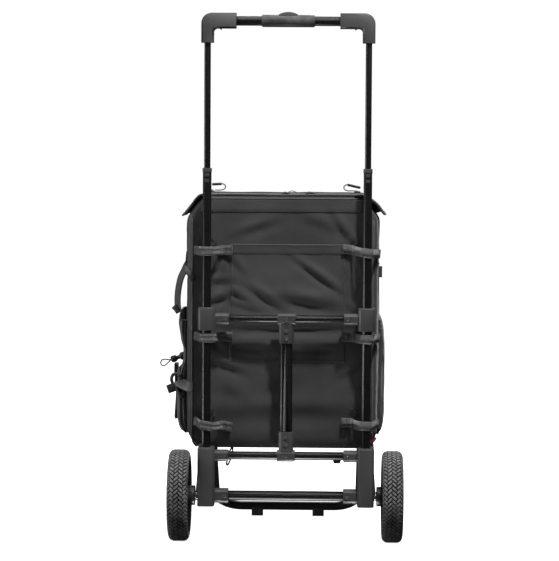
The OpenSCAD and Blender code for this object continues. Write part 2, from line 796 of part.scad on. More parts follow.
// A flat yoke inside the grip bar, and the rods and blades that hang from its ends
module push_rods() {
    piece(STEEL) {
        block([-post_x - rod_r, -yoke_d / 2, grip_z + yoke_low],
            [post_x + rod_r, yoke_d / 2, grip_z + yoke_low + yoke_h]);
        for (side = [-1, 1]) on_side(side) translate([post_x, 0, 0]) {
            translate([0, 0, pin_z + blade_high])
                cylinder(h = grip_z + yoke_low + 1 - pin_z - blade_high, r = rod_r);
            carried_y(-blade_t / 2, blade_t / 2) {
                blade_outline(0, -blade_low, blade_high);
                translate([-rod_r, pin_z + blade_high - 0.5])
                    square([rod_r + blade_x(blade_high) + blade_w / 2, 2.5]);
            }
        }
    }
}

module lock_pin(side) {
    piece(STEEL) on_side(side) translate([post_x, 0, 0]) difference() {
        translate([0, 0, pin_z]) x_rod(pin_r, -pin_tip, pin_tail);
        carried_y(-blade_t / 2 - blade_play, blade_t / 2 + blade_play)
            blade_outline(blade_play, -pin_r - 1, pin_r + 1);
    }
}
module lock_pin_left() lock_pin(-1);
module lock_pin_right() lock_pin(1);

// Compression spring under the yoke
module button_spring() {
    turns = 4;
    steps = 12;
    coil_r = 2.6;
    wire_d = 0.7;
    low = grip_z - grip_bore_r + 1.3;
    high = grip_z + yoke_low - wire_d / 2 - 0.1;
    route = [for (k = [0:turns * steps])
        let (turn = 360 * k / steps)
        [coil_r * cos(turn), coil_r * sin(turn), low + (high - low) * k / (turns * steps)]];
    piece(STEEL) swept_tube(route, wire_d, 6);
}

// ---------- bag ----------

// Outline of the back and front walls, with cut lower corners and sloping shoulders
function wall_outline() = [
    [bag_left_x + toe_corner, base_z], [bag_right_x - toe_corner, base_z],
    [bag_right_x, base_z + toe_corner + 4], [bag_right_x, shoulder_z],
    [bag_right_x - 30, wall_top_z - 14], [bag_right_x - 44, wall_top_z],
    [bag_left_x + 42, wall_top_z], [bag_left_x, shoulder_z],
    [bag_left_x, base_z + toe_corner + 4]
];

module bag_back() {
    piece(FABRIC) carried_y(bag_back_y, bag_back_y + wall_t) polygon(wall_outline());
}

module bag_front() {
    piece(FABRIC) carried_y(bag_front_y - wall_t, bag_front_y) polygon(wall_outline());
}

// A side wall that turns in at the bottom to meet the base
module bag_side(x, in) {
    piece(FABRIC) carried_y(bag_back_y + wall_t, bag_front_y - wall_t) polygon([
        [x, shoulder_z], [x, base_z + toe_corner + 4], [x + in * toe_corner, base_z],
        [x + in * (toe_corner + 4), base_z + wall_t],
        [x + in * wall_t, base_z + toe_corner + wall_t], [x + in * wall_t, shoulder_z]
    ]);
}
module bag_left() bag_side(bag_left_x, 1);
module bag_right() bag_side(bag_right_x, -1);

module bag_base() {
    piece(FABRIC) block(
        [bag_left_x + toe_corner + 4, bag_back_y + wall_t, base_z],
        [bag_right_x - toe_corner - 4, bag_front_y - wall_t, base_z + wall_t]
    );
}

module back_pocket() {
    piece(FABRIC) block([-pocket_half, bag_back_y - pocket_t, pocket_low_z],
        [pocket_half, bag_back_y, pocket_top_z]);
}

module front_pocket() {
    low = base_z + 40;
    high = base_z + 330;
    piece(FABRIC) carried_x(bag_left_x + 50, bag_right_x - 50) polygon([
        [bag_front_y, low], [bag_front_y + front_pocket_t - 8, low + 4],
        [bag_front_y + front_pocket_t, low + 20], [bag_front_y + front_pocket_t, high - 26],
        [bag_front_y + front_pocket_t - 10, high - 6], [bag_front_y, high]
    ]);
}

// Outline of the left pocket: a full lower part, a gathered neck for the cord lock, and its mouth
module side_pocket_left() {
    x = bag_left_x;
    piece(FABRIC) carried_y(side_pocket_y[0], side_pocket_y[1]) polygon([
        [x, base_z + 258], [x - 15, base_z + 256], [x - 12, base_z + 200], [x - 5, base_z + 188],
        [x - 5, base_z + 164], [x - 16, base_z + 142], [x - 21, base_z + 104],
        [x - 21, base_z + 48], [x - 11, base_z + 21], [x, base_z + 20]
    ]);
}

module side_pocket_right() {
    x = bag_right_x;
    piece(FABRIC) carried_y(side_pocket_y[0], side_pocket_y[1]) polygon([
        [x, base_z + 20], [x + 4, base_z + 28], [x + 8.5, base_z + 55], [x + 8.5, base_z + 212],
        [x + 4, base_z + 242], [x, base_z + 246]
    ]);
}

// Six webbing loops that hold the bag to the posts, three a side
module post_straps() {
    patch_y = bag_back_y - strap_t;
    wrap_y = -post_d / 2 - strap_t - 0.2;
    line = [
        [post_x - strap_in, patch_y], [post_x - strap_in + strap_patch, patch_y],
        [post_x - post_w / 2 - 2, wrap_y], [post_x + post_w / 2 + 2, wrap_y],
        [post_x + strap_out - 2, patch_y], [post_x + strap_out, patch_y]
    ];
    piece(WEBBING) for (side = [-1, 1], z = strap_heights) on_side(side)
        translate([0, 0, z - strap_w / 2]) linear_extrude(strap_w)
            polygon([for (p = band(line, -strap_t)) [p[0], min(p[1], bag_back_y)]]);
}

// Webbing grab handle on the bag's left side
module grab_handle() {
    x = bag_left_x;
    line = curve([
        [x - 3.3, base_z + 372], [x - 3.3, base_z + 354], [x - 9, base_z + 342],
        [x - 18, base_z + 318], [x - 24, base_z + 292], [x - 26, base_z + 274],
        [x - 22, base_z + 264], [x - 12, base_z + 260]
    ], 3);
    piece(WEBBING) carried_y(handle_y, handle_y + webbing_w) polygon(band(line, -3));
}

// Side-release buckle that hangs on the left pocket
module side_buckle() {
    out = bag_left_x - 28.5;
    in = bag_left_x - 21.3;
    piece(GRIP_GREY) difference() {
        union() {
            block([out, handle_y - 6, base_z + 128], [in, handle_y + webbing_w + 6, base_z + 150]);
            block([out + 1, handle_y - 3, base_z + 106], [in, handle_y + webbing_w + 3, base_z + 128]);
        }
        for (z = [base_z + 111, base_z + 141])
            block([out - 1, handle_y, z], [in + 1, handle_y + webbing_w, z + 4]);
    }
}

// Spring cord lock on the pocket's drawcord, lying sideways in the gathered neck
module cord_lock() {
    piece(GRIP_GREY) translate([0, lock_y, lock_z]) {
        x_rod(8, lock_in - 12, lock_in);
        x_rod(5, lock_in - 20, lock_in - 11);
        x_rod(7, lock_out, lock_in - 20);
    }
}

module drawcord() {
    route = curve([for (p = drawcord_route) [lock_out + p[0], lock_y + p[1], lock_z + p[2]]], 2);
    piece(FABRIC) swept_tube(route, cord_d, 8);
}

// ---------- lid and zip ----------

// The lid's section across the cart: a flat top and sides that flare out past the walls
function lid_line() = [
    [bag_left_x - 6, bag_top_z - skirt_h - 1], [bag_left_x + 28, bag_top_z],
    [bag_right_x - 30, bag_top_z], [bag_right_x - 5, bag_top_z - 18],
    [bag_right_x + 11, bag_top_z - skirt_h + 3]
];

module bag_lid() {
    piece(FABRIC) {
        carried_y(lid_pivot_y, bag_front_y + free_gap) polygon(band(lid_line(), lid_t));
        carried_y(bag_front_y + free_gap, bag_front_y + free_gap + 4) polygon([
            [bag_left_x, bag_top_z - skirt_h], [bag_right_x, bag_top_z - skirt_h],
            [bag_right_x - 5, bag_top_z - 18], [bag_right_x - 30, bag_top_z],
            [bag_left_x + 28, bag_top_z]
        ]);
    }
}

module zip_track() {
    piece(TUBE_BLACK) {
        block([zip_from, zip_y - zip_w / 2, bag_top_z], [zip_to, zip_y + zip_w / 2, bag_top_z + zip_t]);
        block([bag_left_x + 200, zip_y + zip_w / 2, bag_top_z],
            [bag_left_x + 216, zip_y + zip_w / 2 + 24, bag_top_z + 4]);
    }
}

// A slider with the eye that its pull cord is tied to. toward is 1 when the eye points right
module zip_slider(x, toward) {
    piece(STEEL) translate([x, zip_y, slider_z]) {
        block([-6, -4.5, 0], [6, 4.5, slider_h]);
        block([min(0, toward * eye_reach), -1.8, slider_h - 1],
            [max(0, toward * eye_reach), 1.8, slider_h + 1.4]);
    }
}
module zip_slider_left() zip_slider(slider_left_x, 1);
module zip_slider_right() zip_slider(slider_right_x, -1);

// A pull cord from its slider's eye up to its moulded tip
function pull_route(x, toward, route) = [
    for (p = route) [x + toward * eye_reach + p[0], zip_y + p[1], slider_z + slider_h + p[2]]
];
module pull_cord_left()
    piece(FABRIC) swept_tube(pull_route(slider_left_x, 1, pull_left_route), pull_d, 8);
module pull_cord_right()
    piece(FABRIC) swept_tube(pull_route(slider_right_x, -1, pull_right_route), pull_d, 8);

// A moulded tip, from the end of its cord back over the slider, rising by the given angle
module pull_tip(x, toward, route, rise) {
    end = pull_route(x, toward, route)[len(route) - 1];
    piece(PLASTIC_GREY) translate(end) rotate([0, rise, 0])
        block([toward > 0 ? -tip_len : 0.1, -4, -2], [toward > 0 ? -0.1 : tip_len, 4, 2.4]);
}
module pull_tip_left() pull_tip(slider_left_x, 1, pull_left_route, -4);
module pull_tip_right() pull_tip(slider_right_x, -1, pull_right_route, 14);

post_left();
post_right();
post_collars();
mid_bracket_left();
mid_bracket_right();
lower_bracket_left();
lower_bracket_right();
mid_crossbar();
deck_crossbar();
axle_crossbar();
crossbar_sleeves();
upper_tee();
lower_tee();
centre_strut();
frame_screws();
axle();
axle_fasteners();
toe_pivot_pins();
rim_left();
rim_right();
tyre_left();
tyre_right();
wheel_bush_left();
wheel_bush_right();
toe_loop();
toe_feet();
inner_tube_left();
inner_tube_right();
handle_corner_left();
handle_corner_right();
grip_bar();
grip_sleeve();
lock_plugs();
release_button();
push_rods();
button_spring();
lock_pin_left();
lock_pin_right();
bag_back();
bag_front();
bag_left();
bag_right();
bag_base();
back_pocket();
front_pocket();
side_pocket_left();
side_pocket_right();
post_straps();
grab_handle();
side_buckle();
cord_lock();
drawcord();
bag_lid();
zip_track();
zip_slider_left();
zip_slider_right();
pull_cord_left();
pull_cord_right();
pull_tip_left();
pull_tip_right();
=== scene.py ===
import math

import bmesh
import bpy
import numpy as np
from mathutils import Matrix, Vector, noise
from mathutils.bvhtree import BVHTree


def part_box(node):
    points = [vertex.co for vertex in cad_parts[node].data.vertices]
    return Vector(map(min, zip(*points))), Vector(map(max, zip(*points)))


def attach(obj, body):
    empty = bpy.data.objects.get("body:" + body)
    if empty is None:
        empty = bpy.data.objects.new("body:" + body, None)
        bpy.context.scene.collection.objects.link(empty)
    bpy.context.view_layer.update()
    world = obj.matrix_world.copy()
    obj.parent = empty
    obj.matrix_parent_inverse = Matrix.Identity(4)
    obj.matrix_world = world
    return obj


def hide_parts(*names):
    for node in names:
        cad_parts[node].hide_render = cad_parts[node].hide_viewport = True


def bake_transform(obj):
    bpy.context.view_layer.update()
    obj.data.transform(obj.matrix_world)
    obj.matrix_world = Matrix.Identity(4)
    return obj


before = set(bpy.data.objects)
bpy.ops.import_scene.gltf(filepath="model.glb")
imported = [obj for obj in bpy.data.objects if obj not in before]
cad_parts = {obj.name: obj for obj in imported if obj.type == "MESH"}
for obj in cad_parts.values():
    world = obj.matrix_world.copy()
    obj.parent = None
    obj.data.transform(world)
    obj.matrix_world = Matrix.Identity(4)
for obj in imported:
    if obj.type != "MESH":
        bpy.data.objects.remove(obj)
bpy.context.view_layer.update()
scene = bpy.context.scene


def low(node):
    return Vector(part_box(node)[0])


def high(node):
    return Vector(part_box(node)[1])


# Places that the bag's pieces are built from, in metres
CART_Y = (low("post_left").y + high("post_left").y) / 2
POST_X = (low("post_right").x + high("post_right").x) / 2
POST_BACK = low("post_left").y
BAG_L = low("bag_left").x
BAG_R = high("bag_right").x
BAG_BACK = low("bag_back").y
BAG_FRONT = high("bag_front").y
BASE_Z = low("bag_base").z
RIM_Z = high("bag_back").z
LID_Z = high("bag_lid").z
MID_Y = (BAG_BACK + BAG_FRONT) / 2
FOOT_Z = BASE_Z - 0.0095

# ---------- camera ----------


def aim(obj, target, roll=0.0):
    turn = (Vector(target) - obj.location).to_track_quat("-Z", "Y").to_matrix()
    obj.rotation_euler = (turn @ Matrix.Rotation(roll, 3, "Z")).to_euler()


camera = bpy.data.objects.new("Camera", bpy.data.cameras.new("Camera"))
camera.data.lens = 147.6
camera.data.clip_end = 60
camera.location = (0.068, -4.61, 0.80)
aim(camera, (-0.0145, CART_Y, 0.515), math.radians(0.33))
scene.collection.objects.link(camera)
scene.camera = camera

# ---------- shader helpers ----------


class Material:
    """A Principled material whose nodes are added with short calls."""

    def __init__(self, name, colour, roughness, **sockets):
        self.data = bpy.data.materials.new(name)
        self.data.use_nodes = True
        self.tree = self.data.node_tree
        self.shader = self.tree.nodes["Principled BSDF"]
        self.set(Base_Color=(*colour, 1), Roughness=roughness, **sockets)
        self.place = self.tree.nodes.new("ShaderNodeTexCoord").outputs["Object"]

    def set(self, **sockets):
        for key, value in sockets.items():
            self.shader.inputs[key.replace("_", " ")].default_value = value

    def link(self, a, b):
        self.tree.links.new(a, b)

    def stretch(self, scale, turn=(0, 0, 0)):
        node = self.tree.nodes.new("ShaderNodeMapping")
        node.inputs["Scale"].default_value = scale
        node.inputs["Rotation"].default_value = turn
        self.link(self.place, node.inputs["Vector"])
        return node.outputs[0]

    def noise(self, scale, detail=3.0, where=None, rough=0.55):
        node = self.tree.nodes.new("ShaderNodeTexNoise")
        node.inputs["Scale"].default_value = scale
        node.inputs["Detail"].default_value = detail
        node.inputs["Roughness"].default_value = rough
        self.link(where or self.place, node.inputs["Vector"])
        return node.outputs["Fac"]

    def wave(self, scale, where=None, axis="X", distortion=0.0):
        node = self.tree.nodes.new("ShaderNodeTexWave")
        node.bands_direction = axis
        node.inputs["Scale"].default_value = scale
        node.inputs["Distortion"].default_value = distortion
        self.link(where or self.place, node.inputs["Vector"])
        return node.outputs["Fac"]

    def math(self, how, a, b):
        node = self.tree.nodes.new("ShaderNodeMath")
        node.operation = how
        for socket, value in zip(node.inputs, (a, b)):
            if isinstance(value, (int, float)):
                socket.default_value = value
            else:
                self.link(value, socket)
        return node.outputs[0]

    def blend(self, share, a, b):
        """a where share is 0, b where it is 1."""
        return self.math("ADD", self.math("MULTIPLY", a, self.math("SUBTRACT", 1, share)), self.math("MULTIPLY", b, share))

    def spread(self, value, start, end, a, b):
        """Maps value from start..end to a..b."""
        node = self.tree.nodes.new("ShaderNodeMapRange")
        for key, number in (("From Min", start), ("From Max", end), ("To Min", a), ("To Max", b)):
            node.inputs[key].default_value = number
        self.link(value, node.inputs["Value"])
        return node.outputs[0]

    def colours(self, value, first, second, start=0.35, end=0.65):
        node = self.tree.nodes.new("ShaderNodeValToRGB")
        node.color_ramp.elements[0].position = start
        node.color_ramp.elements[1].position = end
        node.color_ramp.elements[0].color = (*first, 1)
        node.color_ramp.elements[1].color = (*second, 1)
        self.link(value, node.inputs["Fac"])
        self.link(node.outputs["Color"], self.shader.inputs["Base Color"])

    def bumps(self, *layers):
        """Each layer is (height, distance in metres, strength)."""
        last = None
        for height, distance, strength in layers:
            node = self.tree.nodes.new("ShaderNodeBump")
            node.inputs["Distance"].default_value = distance
            node.inputs["Strength"].default_value = strength
            self.link(height, node.inputs["Height"])
            if last:
                self.link(last, node.inputs["Normal"])
            last = node.outputs["Normal"]
        self.link(last, self.shader.inputs["Normal"])


def grey(level, warmth=0.0):
    return (level * (1 + warmth), level, level * (1 + 0.03 - warmth))


# ---------- materials ----------


def metal_paint(name, level, roughness, coat=0.0, grain=900):
    m = Material(name, grey(level), roughness, Specular_IOR_Level=0.5)
    m.set(Coat_Weight=coat, Coat_Roughness=0.12)
    drawn = m.noise(60, 4, m.stretch((12, 12, 1)))
    m.link(m.spread(drawn, 0.3, 0.7, roughness - 0.05, roughness + 0.08), m.shader.inputs["Roughness"])
    m.colours(m.noise(25, 4), grey(level * 0.8), grey(level * 1.25))
    m.bumps((m.noise(grain, 2), 0.0001, 0.25))
    return m.data


def moulded(name, level, roughness, grain=0.35):
    m = Material(name, grey(level), roughness, Specular_IOR_Level=0.5)
    m.colours(m.noise(18, 5), grey(level * 0.9), grey(level * 1.1))
    m.link(m.spread(m.noise(40, 3), 0.3, 0.7, roughness - 0.06, roughness + 0.08), m.shader.inputs["Roughness"])
    m.bumps((m.noise(1300, 2), 0.00012, grain), (m.noise(120, 2), 0.0001, 0.15))
    return m.data


def cloth(name, level, pitch=0.0009, weave=0.5, roughness=0.62, sheen=0.25, warmth=0.0):
    m = Material(name, grey(level, warmth), roughness, Specular_IOR_Level=0.45)
    m.set(Sheen_Weight=sheen, Sheen_Roughness=0.45)
    step = 1 / (2 * pitch)
    facing = m.tree.nodes.new("ShaderNodeSeparateXYZ")
    m.link(m.tree.nodes.new("ShaderNodeNewGeometry").outputs["Normal"], facing.inputs[0])
    sideways = m.math("ABSOLUTE", facing.outputs["X"], 0)
    upward = m.math("ABSOLUTE", facing.outputs["Z"], 0)
    deep = m.wave(step, axis="Y")
    columns = m.blend(sideways, m.wave(step, axis="X"), deep)
    rows = m.blend(upward, m.wave(step, axis="Z"), deep)
    threads = m.math("MULTIPLY", rows, columns)
    m.colours(m.noise(9, 5), grey(level * 0.88, warmth), grey(level * 1.12, warmth), 0.3, 0.7)
    m.link(m.spread(m.noise(14, 4), 0.3, 0.7, roughness - 0.07, roughness + 0.06), m.shader.inputs["Roughness"])
    m.bumps((threads, pitch * 0.25, weave), (m.noise(260, 3), 0.0002, 0.3), (m.noise(30, 4), 0.0011, 0.35))
    return m.data


def rubbery(name, level, roughness, grain=700):
    m = Material(name, grey(level), roughness, Specular_IOR_Level=0.4)
    m.colours(m.noise(60, 6), grey(level * 0.7), grey(level * 1.35))
    m.bumps((m.noise(grain, 4), 0.0003, 0.5))
    return m.data


def zinc(name, level, roughness):
    m = Material(name, grey(level), roughness, Metallic=1.0)
    m.link(m.spread(m.noise(150, 3), 0.3, 0.7, 0.75 * roughness, 1.4 * roughness), m.shader.inputs["Roughness"])
    m.bumps((m.noise(900, 2), 0.00005, 0.2))
    return m.data


TUBE = metal_paint("anodised_tube", 0.0045, 0.3)
TOE = metal_paint("powder_coat", 0.003, 0.42, grain=500)
PLASTIC = moulded("nylon", 0.05, 0.45)
CORNER = moulded("handle_nylon", 0.06, 0.36)
GRIP = rubbery("grip_rubber", 0.05, 0.42)
TYRE = rubbery("tyre_rubber", 0.13, 0.6)
RUBBER = rubbery("foot_rubber", 0.03, 0.6)
STEEL = zinc("zinc_plate", 0.55, 0.3)
DARK_STEEL = zinc("black_zinc", 0.6, 0.22)
FABRIC = cloth("bag_fabric", 0.04)
PANEL = cloth("pocket_fabric", 0.042)
# Lighter copy of the bag fabric for the left pocket: painted light on faces that sit in shade
POUCH_PAINTED_LIGHT = cloth("pouch_fabric_painted_light", 0.11, roughness=0.5, sheen=0.5)
LINING = cloth("lining", 0.06, pitch=0.0012, sheen=0.1)
BINDING = cloth("binding", 0.06, pitch=0.0014, roughness=0.5, sheen=0.3)
WEBBING = cloth("webbing", 0.085, pitch=0.0016, weave=0.9, roughness=0.42, sheen=0.3)
STRAP = cloth("strap_webbing", 0.075, pitch=0.002, weave=0.9, roughness=0.36, sheen=0.3)
MESHY = cloth("mesh_pocket", 0.02, pitch=0.0022, weave=1.0, roughness=0.6)
THREAD = cloth("thread", 0.03, pitch=0.0007, roughness=0.5)
PALE = cloth("pale_thread", 0.16, pitch=0.0007, roughness=0.45)
CORAL = cloth("coral_trim", 0.1, pitch=0.0009)
CORAL.node_tree.nodes["Color Ramp"].color_ramp.elements[0].color = (0.45, 0.035, 0.045, 1)
CORAL.node_tree.nodes["Color Ramp"].color_ramp.elements[1].color = (0.6, 0.06, 0.07, 1)
CORD = cloth("braid", 0.012, pitch=0.0011, weave=0.4, roughness=0.7, sheen=0)
BUCKLE = moulded("acetal", 0.022, 0.32)

# ---------- mesh helpers ----------


def finish_piece(obj, body, stands_for=(), rides=True):
    if stands_for:
        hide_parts(*stands_for)
    if rides:
        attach(obj, body)
    return obj


def mesh_object(name, points, faces, materials, smooth=True, indices=None):
    data = bpy.data.meshes.new(name)
    data.from_pydata([tuple(p) for p in points], [], [tuple(int(i) for i in f) for f in faces])
    for m in materials if isinstance(materials, (list, tuple)) else [materials]:
        data.materials.append(m)
    if indices is not None:
        data.polygons.foreach_set("material_index", np.asarray(indices, dtype=np.int32))
    data.polygons.foreach_set("use_smooth", np.full(len(data.polygons), smooth))
    bm = bmesh.new()
    bm.from_mesh(data)
    bmesh.ops.recalc_face_normals(bm, faces=bm.faces)
    bm.to_mesh(data)
    bm.free()
    obj = bpy.data.objects.new(name, data)
    scene.collection.objects.link(obj)
    return obj


def modifier(obj, kind, **values):
    m = obj.modifiers.new(kind.lower(), kind)
    for key, value in values.items():
        setattr(m, key, value)
    return m


def apply_all(obj):
    """Turns the modifiers into plain geometry."""
    graph = bpy.context.evaluated_depsgraph_get()
    data = bpy.data.meshes.new_from_object(obj.evaluated_get(graph))
    obj.modifiers.clear()
    obj.data = data
    return obj


def grid_faces(rows, columns, closed=False):
    faces = []
    for i in range(rows - 1):
        for j in range(columns if closed else columns - 1):
            k = (j + 1) % columns
            faces.append((i * columns + j, i * columns + k, (i + 1) * columns + k, (i + 1) * columns + j))
    return faces


class Parts:
    """Collects many small solids into one mesh."""

    def __init__(self):
        self.points, self.faces, self.indices = [], [], []

    def add(self, points, faces, index=0):
        start = len(self.points)
        self.points += [tuple(p) for p in points]
        self.faces += [tuple(start + int(i) for i in f) for f in faces]
        self.indices += [index] * len(faces)

    def build(self, name, materials, smooth=True):
        return mesh_object(name, self.points, self.faces, materials, smooth, self.indices)


def smooth_path(points, steps):
    """Catmull-Rom through the points."""
    p = [Vector(q) for q in points]
    p = [2 * p[0] - p[1]] + p + [2 * p[-1] - p[-2]]
    out = []
    for i in range(1, len(p) - 2):
        for s in range(steps):
            u = s / steps
            a, b, c, d = p[i - 1 : i + 3]
            out.append(
                0.5 * (2 * b + (c - a) * u + (2 * a - 5 * b + 4 * c - d) * u * u + (3 * b - a - 3 * c + d) * u**3)
            )
    return out + [p[-2]]


def directions(path):
    n = len(path)
    return [(path[min(i + 1, n - 1)] - path[max(i - 1, 0)]).normalized() for i in range(n)]


def tube(parts, path, radius, sides=8, index=0, start_up=Vector((0.1, 0.96, 0.26))):
    """A round cord along a path, with its ends closed."""
    path = [Vector(p) for p in path]
    ahead = directions(path)
    up = start_up
    rings = []
    for p, t in zip(path, ahead):
        up = (up - t * up.dot(t)).normalized()
        side = t.cross(up)
        for s in range(sides):
            turn = 2 * math.pi * s / sides
            rings.append(p + radius * (math.cos(turn) * side + math.sin(turn) * up))
    faces = grid_faces(len(path), sides, True)
    faces += [tuple(range(sides)), tuple((len(path) - 1) * sides + s for s in range(sides))]
    parts.add(rings, faces, index)


def ribbon(parts, path, across, width, thick, ribs=0, rib=0.0003, index=0, edge=0.0):
    """Flat webbing along a path. across is its width direction, one vector or one for each point."""
    path = [Vector(p) for p in path]
    ahead = directions(path)
    if isinstance(across, Vector):
        across = [across] * len(path)
    count = max(4, ribs * 6)
    section = []
    for k in range(count + 1):
        s = k / count
        lift = rib * (0.5 - 0.5 * math.cos(2 * math.pi * ribs * s)) if ribs else 0
        section.append((s - 0.5, thick / 2 + lift - edge * (2 * abs(s - 0.5)) ** 8))
    section += [(0.5, -thick / 2), (-0.5, -thick / 2)]
    points = []
    for p, t, w in zip(path, ahead, across):
        w = (w - t * w.dot(t)).normalized()
        up = w.cross(t)
        points += [p + w * (a * width) + up * b for a, b in section]
    n = len(section)
    faces = grid_faces(len(path), n, True)
    faces += [tuple(range(n)), tuple((len(path) - 1) * n + s for s in range(n))]
    parts.add(points, faces, index)


def stitches(parts, path, normals, pitch=0.0034, size=0.0004, index=0):
    """A row of small thread stitches along a path, lying on the surface with those normals."""
    path = [Vector(p) for p in path]
    if isinstance(normals, Vector):
        normals = [normals] * len(path)
    travelled, due = 0.0, pitch / 2
    for i in range(len(path) - 1):
        a, b = path[i], path[i + 1]
        gap = (b - a).length
        while gap > 1e-9 and travelled + gap >= due:
            t = (b - a) / gap
            at = a + t * (due - travelled)
            up = normals[i]
            side = t.cross(up).normalized()
            half = pitch * 0.36
            points = []
            for along, lift, spread in ((-half, -0.4, 0.6), (-half * 0.5, 0.7, 1), (half * 0.5, 0.7, 1), (half, -0.4, 0.6)):
                for s, h in ((-1, 0), (0, 1), (1, 0), (0, -1)):
                    points.append(at + t * along + side * (s * size * spread) + up * (h * size * 0.7 + lift * size))
            parts.add(points, grid_faces(4, 4, True) + [(0, 1, 2, 3), (12, 13, 14, 15)], index)
            due += pitch
        travelled += gap


def block(parts, low_corner, high_corner, index=0, spin=None):
    a, b = Vector(low_corner), Vector(high_corner)
    corners = [Vector((x, y, z)) for x in (a.x, b.x) for y in (a.y, b.y) for z in (a.z, b.z)]
    if spin:
        centre = (a + b) / 2
        corners = [centre + spin @ (c - centre) for c in corners]
    parts.add(corners, [(0, 1, 3, 2), (4, 6, 7, 5), (0, 4, 5, 1), (2, 3, 7, 6), (0, 2, 6, 4), (1, 5, 7, 3)], index)


class Surface:
    """Finds points on a finished piece, for what is sewn onto it."""

    def __init__(self, obj):
        graph = bpy.context.evaluated_depsgraph_get()
        data = obj.evaluated_get(graph).to_mesh()
        self.tree = BVHTree.FromPolygons([v.co.copy() for v in data.vertices], [p.vertices for p in data.polygons])

    def hit(self, start, towards):
        towards = Vector(towards).normalized()
        place, normal, _, _ = self.tree.ray_cast(Vector(start), towards)
        if place is None:
            place, normal, _, _ = self.tree.find_nearest(Vector(start) + towards * 0.5)
        return place, (normal if normal.dot(towards) < 0 else -normal)

    def back(self, x, z):
        return self.hit((x, BAG_BACK - 0.3, z), (0, 1, 0))


# ---------- rigid pieces from the frame ----------


def dress(material, *nodes, edge=0.0006, segments=2):
    """Keeps CAD nodes, rounds their edges a little and gives them a material."""
    for node in nodes:
        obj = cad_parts[node]
        obj.data.materials.clear()
        obj.data.materials.append(material)
        obj.data.polygons.foreach_set("use_smooth", np.full(len(obj.data.polygons), True))
        modifier(obj, "WELD", merge_threshold=1e-5)
        modifier(
            obj, "BEVEL", width=edge, segments=segments, limit_method="ANGLE",
            angle_limit=math.radians(28), harden_normals=True,
        )


dress(TUBE, "post_left", "post_right", "inner_tube_left", "inner_tube_right", edge=0.0005)
dress(TUBE, "mid_crossbar", "deck_crossbar", "axle_crossbar", "centre_strut", "grip_bar", edge=0.0004)
dress(PLASTIC, "post_collars", "mid_bracket_left", "mid_bracket_right", edge=0.001)
dress(PLASTIC, "lower_bracket_left", "lower_bracket_right", edge=0.0012)
dress(PLASTIC, "crossbar_sleeves", "upper_tee", "lower_tee", edge=0.001)
dress(BUCKLE, "rim_left", "rim_right", edge=0.001)
dress(PLASTIC, "wheel_bush_left", "wheel_bush_right", "lock_plugs", edge=0.0003)
dress(CORNER, "handle_corner_left", "handle_corner_right", edge=0.002)
dress(CORNER, "release_button", edge=0.0008)
dress(GRIP, "grip_sleeve", edge=0.0008)
dress(RUBBER, "toe_feet", edge=0.001)
dress(TOE, "toe_loop", edge=0.0003)
dress(DARK_STEEL, "frame_screws", edge=0.0003)
dress(STEEL, "axle", "axle_fasteners", "toe_pivot_pins", "push_rods", edge=0.0003)
dress(STEEL, "lock_pin_left", "lock_pin_right", "zip_slider_left", "zip_slider_right", edge=0.0003)
# A coil spring between the bar and the button, in place of the button's CAD spring
spring_low, spring_high = low("button_spring"), high("button_spring")
coil = (spring_high.x - spring_low.x) / 2 - 0.00035
middle = (spring_low + spring_high) / 2
rise = spring_high.z - spring_low.z - 0.0007
spring = Parts()
coils = [
    Vector((middle.x + coil * math.cos(8 * math.pi * t), middle.y + coil * math.sin(8 * math.pi * t), spring_low.z + 0.00035 + rise * t))
    for t in np.linspace(0, 1, 97)
]
tube(spring, coils, 0.00035, 8)
spring_piece = finish_piece(spring.build("coil_spring", [STEEL]), "release", ["button_spring"], rides=False)
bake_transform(spring_piece)

# ---------- tyres ----------


